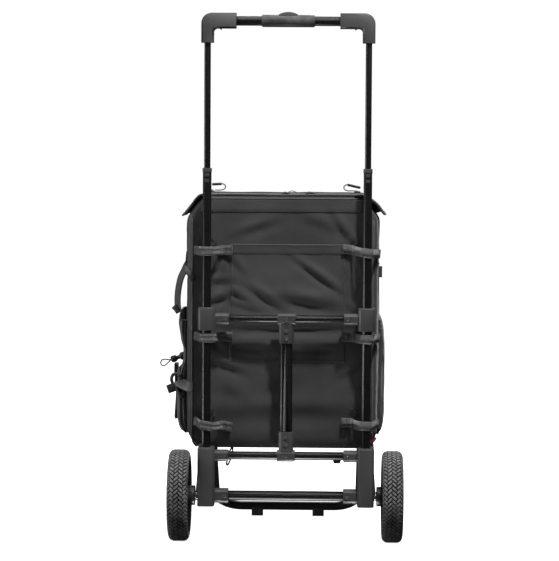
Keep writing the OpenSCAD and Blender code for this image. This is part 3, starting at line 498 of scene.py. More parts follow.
def tyre(side):
    """A smooth carcass under a tread of herringbone bricks."""
    node = "tyre_left" if side < 0 else "tyre_right"
    inner = abs(high(node).x) if side < 0 else low(node).x
    outer = abs(low(node).x) if side < 0 else high(node).x
    width = outer - inner
    mid = (inner + outer) / 2
    radius = (high(node).z - low(node).z) / 2
    centre = Vector((0, CART_Y, (high(node).z + low(node).z) / 2))
    bead = radius - 0.032
    tread, round_r = 0.0026, 0.0115
    flat = width / 2 - round_r

    def section(s, height):
        """(across, radius) at arc length s from the middle of the tread."""
        a = min(max(abs(s) - flat, 0) / round_r, 1.75)
        across = min(abs(s), flat) + (round_r - tread + height) * math.sin(a)
        return math.copysign(across, s), radius - round_r + (round_r - tread + height) * math.cos(a)

    def place(across, r, turn):
        x = side * (mid + across)
        return (x, centre.y + r * math.cos(turn), centre.z + r * math.sin(turn))

    parts = Parts()
    profile = [section(s, 0) for s in np.linspace(-0.0285, 0.0285, 25)]
    sidewall = [(width / 2 - 0.002, bead + 0.014), (width / 2 - 0.0032, bead + 0.008), (width / 2 - 0.005, bead)]
    line = [(-a, r) for a, r in reversed(sidewall)] + profile + sidewall
    turns = 96
    ring = [place(a, r, 2 * math.pi * k / turns) for k in range(turns) for a, r in line]
    n = len(line)
    faces = [
        (k * n + j, k * n + (j + 1) % n, (k + 1) % turns * n + (j + 1) % n, (k + 1) % turns * n + j)
        for k in range(turns)
        for j in range(n)
    ]
    parts.add(ring, faces, 0)
    bricks_round = 64
    cell = 2 * math.pi * radius / bricks_round / math.sqrt(2)
    inset, taper = 0.17, 0.05
    for k in range(-8, 8, 2):
        upright_brick = k % 4 == 2
        for j in range(bricks_round):
            x0 = k + j
            y0 = j - (1 if upright_brick else 0)
            long, wide = (1, 2) if upright_brick else (2, 1)
            points = []
            for height, shrink in ((0, inset), (tread, inset + taper)):
                for u in (0, 0.5, 1):
                    for v in (0, 0.5, 1):
                        cx = x0 + shrink + u * (long - 2 * shrink)
                        cy = y0 + shrink + v * (wide - 2 * shrink)
                        across = (cx - cy) * cell / math.sqrt(2)
                        around = (cx + cy) * cell / math.sqrt(2)
                        if abs(across) > 0.0275:
                            across = math.copysign(0.0275, across)
                        a, r = section(across, height)
                        points.append(place(a, r, around / radius))
            top = [(9 + i * 3 + j2, 9 + i * 3 + j2 + 1, 9 + i * 3 + j2 + 4, 9 + i * 3 + j2 + 3) for i in (0, 1) for j2 in (0, 1)]
            edge = [0, 1, 2, 5, 8, 7, 6, 3]
            walls = [(edge[i], edge[(i + 1) % 8], edge[(i + 1) % 8] + 9, edge[i] + 9) for i in range(8)]
            parts.add(points, top + walls, 1)
    body = "wheel_left" if side < 0 else "wheel_right"
    obj = parts.build(f"{node}_tread", [RUBBER, TYRE], smooth=False)
    for p in obj.data.polygons:
        p.use_smooth = len(p.vertices) == 4 and p.index < turns * n
    return finish_piece(obj, body, [node])


tyre(-1)
tyre(1)

# ---------- the bag's body ----------

# Folds on the back: two ends of each crease in x and z, its half width, and its height.
# The fabric stands out above the crease and falls in below it.
FOLDS = [
    ((-0.104, 0.602), (-0.020, 0.630), 0.008, 0.0022),
    ((0.020, 0.640), (0.100, 0.612), 0.010, 0.0020),
    ((0.092, 0.640), (0.132, 0.580), 0.007, -0.0042),
    ((-0.114, 0.560), (-0.084, 0.526), 0.007, -0.0028),
    ((-0.145, 0.566), (-0.132, 0.520), 0.008, -0.0030),
    ((0.018, 0.553), (0.104, 0.492), 0.0055, -0.0046),
    ((-0.072, 0.500), (-0.010, 0.456), 0.007, -0.0044),
    ((-0.020, 0.480), (0.092, 0.462), 0.011, -0.0052),
    ((-0.112, 0.494), (-0.074, 0.468), 0.006, -0.0040),
    ((-0.112, 0.470), (-0.060, 0.452), 0.006, -0.0030),
    ((-0.158, 0.509), (-0.112, 0.512), 0.006, 0.0034),
    ((-0.158, 0.468), (-0.108, 0.484), 0.006, 0.0040),
    ((-0.125, 0.421), (0.130, 0.421), 0.009, -0.0050),
    ((-0.158, 0.358), (-0.085, 0.330), 0.007, -0.0040),
    ((-0.152, 0.408), (-0.122, 0.372), 0.006, -0.0034),
    ((-0.100, 0.383), (-0.026, 0.378), 0.008, -0.0026),
    ((0.004, 0.384), (0.112, 0.378), 0.008, -0.0026),
    ((-0.140, 0.250), (0.140, 0.254), 0.016, -0.0030),
    ((0.152, 0.348), (0.106, 0.322), 0.007, 0.0026),
    ((-0.060, 0.300), (0.040, 0.322), 0.018, 0.0020),
    ((-0.130, 0.300), (-0.080, 0.276), 0.012, -0.0020),
    ((0.120, 0.464), (0.152, 0.440), 0.006, -0.0030),
    ((0.130, 0.560), (0.150, 0.520), 0.007, 0.0026),
]


def fold_height(x, z):
    total = 0.0
    for (ax, az), (bx, bz), half, size in FOLDS:
        dx, dz = bx - ax, bz - az
        long = math.hypot(dx, dz)
        along = ((x - ax) * dx + (z - az) * dz) / long
        off = (-(x - ax) * dz + (z - az) * dx) / long
        if dx < 0:
            off = -off
        t = along / long
        if -0.35 < t < 1.35:
            taper = math.sin(math.pi * (t + 0.35) / 1.7) ** 2
            d = off / half
            total += abs(size) * taper * d * math.exp(0.5 - 0.5 * d * d)
    return total


def wrinkles(p, seed, size):
    a = noise.noise(Vector((p.x * 14, p.y * 14, p.z * 11 + seed)))
    b = noise.noise(Vector((p.x * 38 + seed, p.y * 38, p.z * 30)))
    c = noise.noise(Vector((p.x * 80, p.y * 80 + seed, p.z * 60)))
    return size * (a + 0.42 * b + 0.14 * c)


def ease(t):
    t = min(max(t, 0), 1)
    return t * t * (3 - 2 * t)


def inflate(obj, held, pressure, most, slack=0.02):
    """Fills a piece with cloth pressure, and keeps every point within `most` of where it was drawn."""
    drawn = [v.co.copy() for v in obj.data.vertices]
    obj.vertex_groups.new(name="held").add(held, 1.0, "REPLACE")
    cloth_modifier = modifier(obj, "CLOTH")
    settings = cloth_modifier.settings
    settings.quality, settings.mass = 5, 0.3
    settings.tension_stiffness = settings.compression_stiffness = 14
    settings.shear_stiffness, settings.bending_stiffness = 5, 0.35
    settings.use_pressure, settings.uniform_pressure_force = True, pressure
    settings.effector_weights.gravity = 0
    settings.vertex_group_mass = "held"
    settings.shrink_min = -slack
    cloth_modifier.point_cache.frame_start, cloth_modifier.point_cache.frame_end = 1, 20
    for number in range(1, 21):
        scene.frame_set(number)
    settled = obj.evaluated_get(bpy.context.evaluated_depsgraph_get()).to_mesh()
    moved = [v.co.copy() for v in settled.vertices]
    obj.modifiers.remove(cloth_modifier)
    scene.frame_set(1)
    for v, a, b in zip(obj.data.vertices, drawn, moved):
        step = b - a
        v.co = a + step * min(1, most / max(step.length, 1e-9))
    obj.vertex_groups.clear()


SIDES = [("back", 64), ("right", 42), ("front", 64), ("left", 42)]
CORNER_STEPS = 6


def ring_at(z):
    """One level of the body: points round a rounded rectangle, with outward normals and sides."""
    foot = max(0.0, 1 - (z - FOOT_Z) / 0.020)
    tuck = 1 - math.sqrt(max(0, 1 - foot * foot))
    lean = max(0.0, 1 - (z - FOOT_Z) / 0.10) ** 2
    top = max(0.0, (z - (RIM_Z - 0.046)) / 0.046)
    pinch = 0.020 * max(0.0, 1 - (z - FOOT_Z) / 0.036) ** 1.4
    x0 = BAG_L + pinch + 0.032 * top**1.6
    x1 = BAG_R - pinch - 0.036 * top**1.6
    y0 = BAG_BACK + 0.008 * tuck + 0.016 * lean
    y1 = BAG_FRONT - 0.008 * tuck - 0.004 * lean
    r = 0.017
    corners = [
        (Vector((x0 + r, y0 + r)), Vector((x1 - r, y0 + r)), -90),
        (Vector((x1 - r, y0 + r)), Vector((x1 - r, y1 - r)), 0),
        (Vector((x1 - r, y1 - r)), Vector((x0 + r, y1 - r)), 90),
        (Vector((x0 + r, y1 - r)), Vector((x0 + r, y0 + r)), 180),
    ]
    out = []
    for (a, b, angle), (name, count) in zip(corners, SIDES):
        n = Vector((math.cos(math.radians(angle)), math.sin(math.radians(angle))))
        for k in range(count):
            t = k / (count - 1)
            out.append((a.lerp(b, t) + n * r, n, name))
        for k in range(1, CORNER_STEPS):
            turn = math.radians(angle + 90 * k / CORNER_STEPS)
            n2 = Vector((math.cos(turn), math.sin(turn)))
            out.append((b + n2 * r, n2, "corner"))
    return out


def body_points():
    levels = [FOOT_Z + 0.020 * (1 - math.cos(math.pi / 2 * k / 5)) for k in range(6)]
    levels += list(np.linspace(levels[-1], RIM_Z - 0.001, 80)[1:])
    rows = []
    for z in levels:
        row = []
        for p, n, side in ring_at(z):
            at = Vector((p.x, p.y, z))
            out = Vector((n.x, n.y, 0))
            fade = ease((z - FOOT_Z) / 0.03) * ease((RIM_Z - z) / 0.02)
            push = wrinkles(at, 3.1, 0.0021) * fade
            if n.y < -0.5:
                hollow = math.cos(min(1, abs(p.x + 0.005) / 0.165) * math.pi / 2) * ease((0.66 - z) / 0.1)
                push += fold_height(p.x, z) * fade - 0.007 * hollow * ease((z - BASE_Z) / 0.06)
            elif side in ("left", "right"):
                t = (p.y - BAG_BACK) / (BAG_FRONT - BAG_BACK)
                push += fade * (0.004 * math.sin(math.pi * t) * ease((z - BASE_Z) / 0.1) - 0.005)
            else:
                push -= 0.002 * fade
            row.append(at + out * push)
        rows.append(row)
    return rows


def body_shell():
    rows = body_points()
    n = len(rows[0])
    bottom = rows[0]
    centre_line = [Vector((min(max(p.x, BAG_L + 0.13), BAG_R - 0.13), MID_Y, FOOT_Z + 0.002)) for p in bottom]
    rings = []
    for k in range(9, 0, -1):
        t = 1 - k / 10
        rings.append([q.lerp(p, t) for p, q in zip(bottom, centre_line)])
    points = [p for row in [centre_line] + rings + rows for p in row]
    for p in points:
        p.z += (BASE_Z - FOOT_Z) * ease((p.y - BAG_BACK - 0.02) / 0.06) * (1 - ease((p.z - FOOT_Z) / 0.07))
    obj = mesh_object("bag_body", points, grid_faces(len(points) // n, n, True), [FABRIC, LINING])
    bm = bmesh.new()
    bm.from_mesh(obj.data)
    bmesh.ops.remove_doubles(bm, verts=bm.verts, dist=1e-6)
    bmesh.ops.recalc_face_normals(bm, faces=bm.faces)
    bm.to_mesh(obj.data)
    bm.free()
    return obj


bag = body_shell()
still = [v.index for v in bag.data.vertices if v.co.y < BAG_BACK + 0.03 or v.co.z < FOOT_Z + 0.03 or v.co.z > RIM_Z - 0.02]
inflate(bag, still, 4, 0.0028, slack=0.02)
bag_surface = Surface(bag)
modifier(bag, "SOLIDIFY", thickness=0.0045, offset=-1, material_offset=1)
finish_piece(bag, "frame", ["bag_back", "bag_front", "bag_left", "bag_right", "bag_base"])


# ---------- what is sewn to the back ----------


def sewn_panel(name, x0, x1, z0, z1, lift, material, step=0.0045, puff=0.0, seed=0.0):
    """A flat piece of fabric sewn onto the back, which follows its folds."""
    edge = 0.0012
    xs = [x0, x0 + edge * 0.2, x0 + edge] + list(np.arange(x0 + edge + step, x1 - edge, step)) + [x1 - edge, x1 - edge * 0.2, x1]
    zs = [z0, z0 + edge * 0.2, z0 + edge] + list(np.arange(z0 + edge + step, z1 - edge, step)) + [z1 - edge, z1 - edge * 0.2, z1]
    rise = lambda v, a, b: min(1.0, min(v - a, b - v) / edge + 0.02) ** 0.45
    points = []
    for z in zs:
        for x in xs:
            at, n = bag_surface.back(x, z)
            t = rise(x, x0, x1) * rise(z, z0, z1)
            swell = puff * ease((x - x0) / 0.03) * ease((x1 - x) / 0.03) * ease((z - z0) / 0.02)
            points.append(at + n * (lift * t + swell * (0.6 + noise.noise(Vector((x * 30, z * 30, seed))))))
    return mesh_object(name, points, grid_faces(len(zs), len(xs)), material)


def along_back(start, end, lift, step=0.003):
    """A line on the back between two places in x and z, with its normals."""
    count = max(2, int(math.hypot(end[0] - start[0], end[1] - start[1]) / step))
    path, normals = [], []
    for k in range(count + 1):
        t = k / count
        at, n = bag_surface.back(start[0] + (end[0] - start[0]) * t, start[1] + (end[1] - start[1]) * t)
        path.append(at + n * lift)
        normals.append(n)
    return path, normals


def frame_piece(obj, stands_for=()):
    return finish_piece(obj, "frame", stands_for)


BAND_Z = RIM_Z - 0.0295
band = sewn_panel("back_band", BAG_L + 0.030, BAG_R - 0.034, BAND_Z, RIM_Z - 0.004, 0.0014, PANEL, seed=2)
frame_piece(band)

POCKET = (-0.114, 0.115, 0.351, 0.584)
pocket = sewn_panel("back_pocket_panel", *POCKET, 0.0013, PANEL, puff=0.0012, seed=5)
frame_piece(pocket, stands_for=["back_pocket"])
pocket_hem = sewn_panel("back_pocket_hem", POCKET[0] + 0.001, POCKET[1] - 0.001, 0.5635, POCKET[3] + 0.0008, 0.0024, PANEL, seed=5)
frame_piece(pocket_hem)

thread = Parts()


def sew(start, end, lift, index=0, **how):
    path, normals = along_back(start, end, lift)
    stitches(thread, path, normals, index=index, **how)


sew((BAG_L + 0.032, BAND_Z + 0.007), (BAG_R - 0.036, BAND_Z + 0.007), 0.0015)
sew((BAG_L + 0.032, BAND_Z + 0.002), (BAG_R - 0.036, BAND_Z + 0.002), 0.0015)
px0, px1, pz0, pz1 = POCKET
for inset in (0.0022, 0.0055):
    sew((px0 + inset, pz0 + inset), (px0 + inset, 0.562), 0.0018)
    sew((px1 - inset, pz0 + inset), (px1 - inset, 0.562), 0.0018)
    sew((px0 + inset, pz0 + inset), (px1 - inset, pz0 + inset), 0.0018)
sew((px0 + 0.003, 0.5658), (px1 - 0.003, 0.5658), 0.0027)
sew((px0 + 0.003, pz1 - 0.0018), (px1 - 0.003, pz1 - 0.0018), 0.0027)
frame_piece(thread.build("back_thread", [THREAD, PALE]))

# ---------- straps round the posts ----------

STRAP_ROWS = [
    (-1, 0.572, 0.00), (1, 0.570, -0.13), (-1, 0.402, -0.02), (1, 0.401, -0.04), (-1, 0.229, -0.17), (1, 0.2305, -0.02),
]
straps = Parts()
for side, z, tilt in STRAP_ROWS:
    back = POST_BACK - 0.0022
    line = [
        (-0.0490, None), (-0.0400, None), (-0.0290, None), (-0.0205, (BAG_BACK + back) / 2 - 0.003),
        (-0.0115, back + 0.0015), (-0.0075, back), (0.0, back - 0.0002), (0.0075, back), (0.0112, back + 0.002),
        (0.0165, (BAG_BACK + back) / 2), (0.0215, BAG_BACK - 0.005), (0.0262, BAG_BACK - 0.0015),
    ]
    points = []
    for a, y in line:
        x, level = side * (POST_X + a), z + side * a * tilt
        if y is None:
            near = [(x + dx, level + dz) for dx in (-0.006, 0, 0.006) for dz in (-0.008, 0, 0.008)]
            y = min(bag_surface.back(*at)[0].y for at in near) - 0.0046
        points.append((x, y, level))
    path = smooth_path(points, 4)
    ribbon(straps, path, Vector((0, 0, 1)), 0.0180, 0.0014, ribs=2, rib=0.0016)
    doubled = [p - Vector((0, 0.0012, 0)) for p in path[:11]]
    ribbon(straps, doubled, Vector((0, 0, 1)), 0.0192, 0.0018, ribs=2, rib=0.0013)
    for row in (-0.0078, -0.0012, 0.0012, 0.0078):
        stitches(straps, [p + Vector((0, -0.0011, row)) for p in path], Vector((0, -1, 0)), pitch=0.003, index=1)
        stitches(straps, [p + Vector((0, -0.0012, row)) for p in doubled], Vector((0, -1, 0)), pitch=0.003, index=1)
    for across in (0.0015, 0.0115):
        ends = [path[0] + Vector((-side * -across, -0.0030, s)) for s in np.linspace(-0.0085, 0.0085, 8)]
        stitches(straps, ends, Vector((0, -1, 0)), pitch=0.0026, size=0.0006, index=2)
frame_piece(straps.build("strap_loops", [STRAP, PALE, THREAD]), ["post_straps"])

# Loose ends of the thread that sews the straps
curls = Parts()
for x, z in ((-0.1435, 0.586), (-0.1455, 0.243), (0.1325, 0.586), (0.1325, 0.244)):
    at, n = bag_surface.back(x, z)
    loop = [at + n * 0.001 + Vector((0.0055 * math.sin(a), -0.002 - 0.003 * math.sin(a / 2), 0.008 - 0.008 * math.cos(a * 0.8))) for a in np.linspace(0, 5.2, 16)]
    tube(curls, loop, 0.0009, 6)
frame_piece(curls.build("strap_thread_ends", [THREAD]))

# ---------- lid ----------

LID_SECTION = [
    (BAG_L - 0.006, LID_Z - 0.0425), (BAG_L + 0.003, LID_Z - 0.0315), (BAG_L + 0.013, LID_Z - 0.0185),
    (BAG_L + 0.021, LID_Z - 0.0078), (BAG_L + 0.029, LID_Z - 0.0018), (BAG_L + 0.045, LID_Z - 0.0006),
    (BAG_L + 0.12, LID_Z - 0.0004), (MID_Y * 0 - 0.009, LID_Z - 0.0012), (BAG_R - 0.12, LID_Z - 0.0004),
    (BAG_R - 0.045, LID_Z - 0.0006), (BAG_R - 0.028, LID_Z - 0.0022), (BAG_R - 0.015, LID_Z - 0.0100),
    (BAG_R - 0.004, LID_Z - 0.0190), (BAG_R + 0.004, LID_Z - 0.0290), (BAG_R + 0.0105, LID_Z - 0.0385),
]
LID_BACK = BAG_BACK + 0.0045
LID_FRONT = BAG_FRONT + 0.0042
LID_FOOT = LID_Z - 0.0415


def lid_points():
    line = smooth_path([(x, 0, z) for x, z in LID_SECTION], 6)
    n = len(line)
    round_r = 0.014
    rows = [[Vector((p.x, y, p.z)) for p in line] for y in np.linspace(LID_BACK, LID_FRONT - round_r, 44)]
    drop = [min(1, max(0, (p.z - LID_FOOT) / round_r)) * round_r for p in line]
    inner = [min(max(p.x, BAG_L + 0.001), BAG_R - 0.001) for p in line]
    for a in np.linspace(0, math.pi / 2, 7)[1:]:
        c = 1 - math.cos(a)
        rows.append([Vector((p.x + (x - p.x) * c, LID_FRONT - round_r + round_r * math.sin(a), p.z - d * c)) for p, d, x in zip(line, drop, inner)])
    for t in np.linspace(0, 1, 8)[1:]:
        rows.append([Vector((x, LID_FRONT, p.z - d + (LID_FOOT - p.z + d) * t)) for p, d, x in zip(line, drop, inner)])
    for i, row in enumerate(rows):
        for j, p in enumerate(row):
            calm = ease(i / 5) * ease(min(j, n - 1 - j) / 5)
            side_fold = 0.0012 * math.sin(p.y * 60 + p.x * 20) * (1 - ease((p.z - LID_FOOT) / 0.035))
            row[j] = p + Vector((0, 0, 1)) * (wrinkles(p, 9.4, 0.0012) - 0.0012) * calm + Vector((side_fold, 0, 0))
    return rows


lid_rows = lid_points()
lid = mesh_object("lid_shell", [p for row in lid_rows for p in row], grid_faces(len(lid_rows), len(lid_rows[0])), [FABRIC, LINING])
bm = bmesh.new()
bm.from_mesh(lid.data)
bmesh.ops.remove_doubles(bm, verts=bm.verts, dist=1e-5)
up_faces = sum(f.normal.z * f.calc_area() for f in bm.faces)
if up_faces < 0:
    bmesh.ops.reverse_faces(bm, faces=bm.faces)
bm.to_mesh(lid.data)
bm.free()
lid_surface = Surface(lid)
modifier(lid, "SOLIDIFY", thickness=0.0035, offset=-1, material_offset=1)
finish_piece(lid, "lid", ["bag_lid"])

trim = Parts()
edge_line = [p + Vector((0, -0.0006, -0.0016)) for p in lid_rows[0]]
tube(trim, edge_line, 0.0022, 8)
for column in (0, -1):
    tube(trim, [row[column] + Vector((0, 0, -0.0008)) for row in lid_rows[:50]], 0.0021, 8)
tube(trim, [p + Vector((0, 0.0004, 0)) for p in lid_rows[-1]], 0.0021, 8)
for j in (4, len(lid_rows[0]) - 5):
    stitches(trim, [row[j] + Vector((0, 0, 0.0002)) for row in lid_rows[2:44]], Vector((0, 0, 1)), index=1)
stitches(trim, [p + Vector((0, 0.0006, 0.0004)) for p in lid_rows[-2]], Vector((0, 1, 0)), index=1)
stitches(trim, [p + Vector((0, 0, 0.0005)) for p in lid_rows[2]], Vector((0, 0, 1)), index=1)
finish_piece(trim.build("lid_binding", [BINDING, PALE]), "lid")

# The fabric hinge between the back and the lid
hinge_rows = []
for t in np.linspace(0, 1, 9):
    turn = math.pi / 2 * t
    y = BAG_BACK + 0.0020 + 0.010 * (1 - math.cos(turn))
    z = RIM_Z - 0.0060 + (LID_Z + 0.0006 - RIM_Z + 0.0060) * math.sin(turn)
    hinge_rows.append([Vector((x, y, z)) for x in np.linspace(BAG_L + 0.048, BAG_R - 0.050, 60)])
hinge = mesh_object("lid_hinge_tape", [p for row in hinge_rows for p in row], grid_faces(9, 60), PANEL)
modifier(hinge, "SOLIDIFY", thickness=0.0008, offset=0)
apply_all(hinge)
finish_piece(hinge, "frame", rides=False)
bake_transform(hinge)

# ---------- zip, sliders and pulls ----------

track_low, track_high = low("zip_track"), high("zip_track")
zip_y = (low("zip_slider_left").y + high("zip_slider_left").y) / 2
zip_from, zip_to = track_low.x, track_high.x
tape_z = LID_Z + 0.0004
zipper = Parts()
for side in (-1, 1):
    for k in range(int((zip_to - zip_from) / 0.0021)):
        x = zip_from + 0.001 + k * 0.0021 + (0.00105 if side > 0 else 0)
        block(zipper, (x - 0.0006, zip_y + side * 0.0012 - 0.0014, tape_z + 0.0002), (x + 0.0006, zip_y + side * 0.0012 + 0.0014, tape_z + 0.0014), 1)
    tape = [(x, zip_y + side * 0.0048, tape_z) for x in np.linspace(zip_from - 0.004, zip_to + 0.004, 90)]
    ribbon(zipper, tape, Vector((0, 1, 0)), 0.0072, 0.0007, ribs=0)
    stitches(zipper, [Vector(p) + Vector((0, side * 0.002, 0.0004)) for p in tape], Vector((0, 0, 1)), index=2)
web = [(BAG_L + 0.2, 0, 0.0008), (BAG_L + 0.203, 0, 0.0028), (BAG_L + 0.208, 0, 0.0038), (BAG_L + 0.213, 0, 0.0028), (BAG_L + 0.216, 0, 0.0008)]
ribbon(zipper, smooth_path([(x, zip_y + 0.020, LID_Z + z) for x, _, z in web], 4), Vector((0, 1, 0)), 0.022, 0.0012, ribs=2, index=3)
finish_piece(zipper.build("zip_teeth", [PANEL, TUBE, THREAD, WEBBING], smooth=False), "lid", ["zip_track"])

PULL_LEFT = [
    (0, 0), (3.5, 0), (7, 0), (10.5, 0.2), (14, 0.8), (17, 1.8), (19.4, 4), (20.2, 7), (19, 10), (16.4, 12), (13.2, 12.8),
]
PULL_RIGHT = [
    (0, 0), (-4, 0), (-8, 0), (-12, 0.3), (-15.2, 1.2), (-17.8, 3.2), (-19, 6.2), (-18.2, 9.3), (-15.6, 11.4), (-12.4, 12.4),
]
DRAWCORD = [
    (0, 3, 0), (-4, 3.3, 1), (-8, 4, 3), (-13, 4.6, 5), (-18, 4.2, 5), (-21, 2.5, 2), (-22, 0, -1), (-21, -2.5, -4),
    (-18, -4.2, -6), (-13, -4.6, -6), (-8, -4, -4), (-4, -3.3, -2), (0, -3, 0),
]


def cord_curve(name, points, diameter):
    """A curve with one open spline through the points, and its length."""
    path = smooth_path(points, 4)
    data = bpy.data.curves.new(name, "CURVE")
    data.dimensions = "3D"
    spline = data.splines.new("POLY")
    spline.points.add(len(path) - 1)
    for point, p in zip(spline.points, path):
        point.co = (*p, 1)
    data.bevel_depth = diameter / 2
    data.bevel_resolution = 3
    data.use_fill_caps = True
    data.materials.append(CORD)
    obj = bpy.data.objects.new(name, data)
    scene.collection.objects.link(obj)
    return obj, path[0], sum((b - a).length for a, b in zip(path, path[1:]))


def pull_tip(name, end, toward, rise, length, replaced, body):
    """A moulded tip with grip ribs, from the end of its cord back over the slider."""
    parts = Parts()
    rows = []
    stations = [0, 0.0006, 0.002, 0.004] + list(np.linspace(0.006, length - 0.004, 16)) + [length - 0.002, length - 0.0006, length]
    for d in stations:
        t = d / length
        half_y = 0.0034 + 0.0012 * math.sin(math.pi * min(1, t * 1.2)) ** 0.6
        half_z = 0.0027 + 0.0003 * math.cos(t * 60) * (0.25 < t < 0.85)
        shut = math.sqrt(max(0.02, 1 - max(0, 1 - d / 0.002, 1 - (length - d) / 0.002) ** 2))
        rows.append([Vector((-toward * d, half_y * shut * math.cos(a), half_z * shut * math.sin(a))) for a in np.linspace(0, 2 * math.pi, 17)[:-1]])
    spin = Matrix.Rotation(math.radians(rise), 3, "Y")
    points = [Vector(end) + spin @ p for row in rows for p in row]
    faces = grid_faces(len(rows), 16, True) + [tuple(range(16)), tuple((len(rows) - 1) * 16 + k for k in range(16))]
    parts.add(points, faces)
    return finish_piece(parts.build(name, [BUCKLE]), body, [replaced])


for name, route, toward, rise, length in (("left", PULL_LEFT, 1, -4, 0.0205), ("right", PULL_RIGHT, -1, 13, 0.0275)):
    slider = f"zip_slider_{name}"
    eye = high(slider).x if toward > 0 else low(slider).x
    points = [(eye + x / 1000, zip_y, high(slider).z - 0.0014 + z / 1000) for x, z in route]
    pull, start, long = cord_curve(f"pull_{name}", points, 0.0022)
    tip = pull_tip(f"tip_{name}", points[-1], toward, rise, length, f"pull_tip_{name}", f"zip_{name}")
    finish_piece(pull, f"zip_{name}", [f"pull_cord_{name}"])


# ---------- free cord and its lock on the left pocket ----------

lock_low, lock_high = low("cord_lock"), high("cord_lock")
lock_y, lock_z = (lock_low.y + lock_high.y) / 2, (lock_low.z + lock_high.z) / 2
lock_turn = Matrix.Rotation(math.radians(-19), 3, "Y")


def hung(x, y, z):
    """A point of the lock, from the middle of its right end, as it hangs from the pocket."""
    return Vector((lock_high.x, lock_y, lock_z - 0.010)) + lock_turn @ Vector((x, y, z))


lock = Parts()
rings = []
for d, r in (
    (0, 4.0), (0.3, 6.4), (1.2, 7.6), (4, 8), (9, 7.9), (11.2, 7.3), (12, 6.0), (12.3, 4.4), (16, 4.0), (19.2, 4.4),
    (19.8, 5.6), (21, 6.6), (25, 7.0), (29, 6.8), (31, 5.8), (31.8, 3.8), (32, 1.5),
):
    for k in range(28):
        turn = 2 * math.pi * k / 28
        grip = 1 + 0.03 * math.cos(7 * turn) * (20 < d < 31 or 1 < d < 11)
        rings.append(hung(-d / 1000, r * grip / 1000 * math.cos(turn), r * grip / 1000 * math.sin(turn)))
lock.add(rings, grid_faces(17, 28, True) + [tuple(range(28)), tuple(16 * 28 + k for k in range(28))])
lock_piece = frame_piece(lock.build("cord_lock_body", [BUCKLE]), ["cord_lock"])
points = [hung(lock_low.x - lock_high.x + x / 1000, y / 1000, z / 1000) for x, y, z in DRAWCORD]
drawcord, start, long = cord_curve("drawcord_loop", points, 0.0026)
frame_piece(drawcord, ["drawcord"])

# ---------- side pockets ----------


def side_pocket(name, side, levels, section, mouth_dip, neck, body_x, stands_for, fabric):
    """A pouch on the bag's side. levels are (height, how far it stands out, how wide it is), from the bottom up."""
    heights = [a for a, _, _ in levels]
    rows = []
    for z in np.linspace(heights[0], heights[-1], 66):
        out = float(np.interp(z, heights, [b for _, b, _ in levels]))
        wide = float(np.interp(z, heights, [c for _, _, c in levels]))
        row = []
        for k, p in enumerate(section):
            y = MID_Y + (p.y - MID_Y) * wide
            gather = math.exp(-(((z - neck) / 0.03) ** 2)) if neck else 0
            ripple = gather * 0.0022 * math.sin(k * 1.45) + 0.0012 * noise.noise(Vector((p.x * 9, p.y * 50, z * 24 + side)))
            share = (z - heights[0]) / (heights[-1] - heights[0])
            dip = mouth_dip * math.exp(-(((p.y - section[0].y) / 0.028) ** 2)) * ease((share - 0.8) / 0.2)
            reach = min(1.0, p.x * 3)
            row.append(Vector((body_x + side * (out * p.x + ripple * reach), y, z - dip)))
        rows.append(row)
    obj = mesh_object(name, [p for row in rows for p in row], grid_faces(len(rows), len(section)), [fabric, LINING])
    n = len(section)
    edges = [k for k in range(len(rows) * n) if k // n in (0, 1, len(rows) - 2, len(rows) - 1) or k % n in (0, n - 1)]
    inflate(obj, edges, 4, 0.003, slack=0.04)
    modifier(obj, "SOLIDIFY", thickness=0.0014, offset=0)
    modifier(obj, "SUBSURF", levels=1, render_levels=1)
    frame_piece(obj, stands_for)
    hem = Parts()
    tube(hem, rows[-1], 0.0019, 8)
    stitches(hem, [p + Vector((side * 0.0012, 0, -0.006)) for p in rows[-1]], Vector((side, 0, 0)), index=1)
    for k in (0, -1):
        tube(hem, [row[k] for row in rows[2:]], 0.0013, 6)
    frame_piece(hem.build(name + "_hem", [BINDING, THREAD]))
    return rows


py0, py1 = low("side_pocket_left").y, high("side_pocket_left").y
pleated = smooth_path([
    (0, py0, 0), (0.14, py0 + 0.009, 0), (0.30, py0 - 0.003, 0), (0.46, py0 + 0.009, 0), (0.62, py0 - 0.004, 0),
    (0.78, py0 + 0.002, 0), (0.90, py0 + 0.012, 0), (0.97, py0 + 0.028, 0), (1.0, py0 + 0.05, 0), (1.0, (py0 + py1) / 2, 0), (1.0, py1 - 0.04, 0),
    (0.95, py1 - 0.010, 0), (0.62, py1 + 0.001, 0), (0.3, py1 - 0.001, 0), (0, py1 - 0.004, 0),
], 5)
# The left pocket takes the lighter fabric, which paints light onto its shaded back faces
left_rows = side_pocket(
    "left_pocket", -1,
    [(BASE_Z + a, b, c) for a, b, c in (
        (0.015, 0.006, 0.80), (0.021, 0.0125, 0.90), (0.034, 0.0165, 0.97), (0.048, 0.0195, 1.0), (0.104, 0.0205, 1.0),
        (0.132, 0.0170, 0.97), (0.150, 0.0105, 0.88), (0.164, 0.0062, 0.80), (0.186, 0.0060, 0.80), (0.200, 0.0105, 0.86),
        (0.225, 0.0145, 0.94), (0.246, 0.0165, 1.0), (0.257, 0.0172, 1.0),
    )],
    pleated, 0.016, BASE_Z + 0.176, BAG_L + 0.002, ["side_pocket_left"], POUCH_PAINTED_LIGHT,
)
plain = smooth_path([
    (0, py0, 0), (0.3, py0 - 0.003, 0), (0.7, py0 - 0.002, 0), (0.95, py0 + 0.012, 0), (1.0, py0 + 0.045, 0),
    (1.0, (py0 + py1) / 2, 0), (1.0, py1 - 0.045, 0), (0.92, py1 - 0.010, 0), (0.5, py1 + 0.001, 0), (0, py1 - 0.003, 0),
], 5)
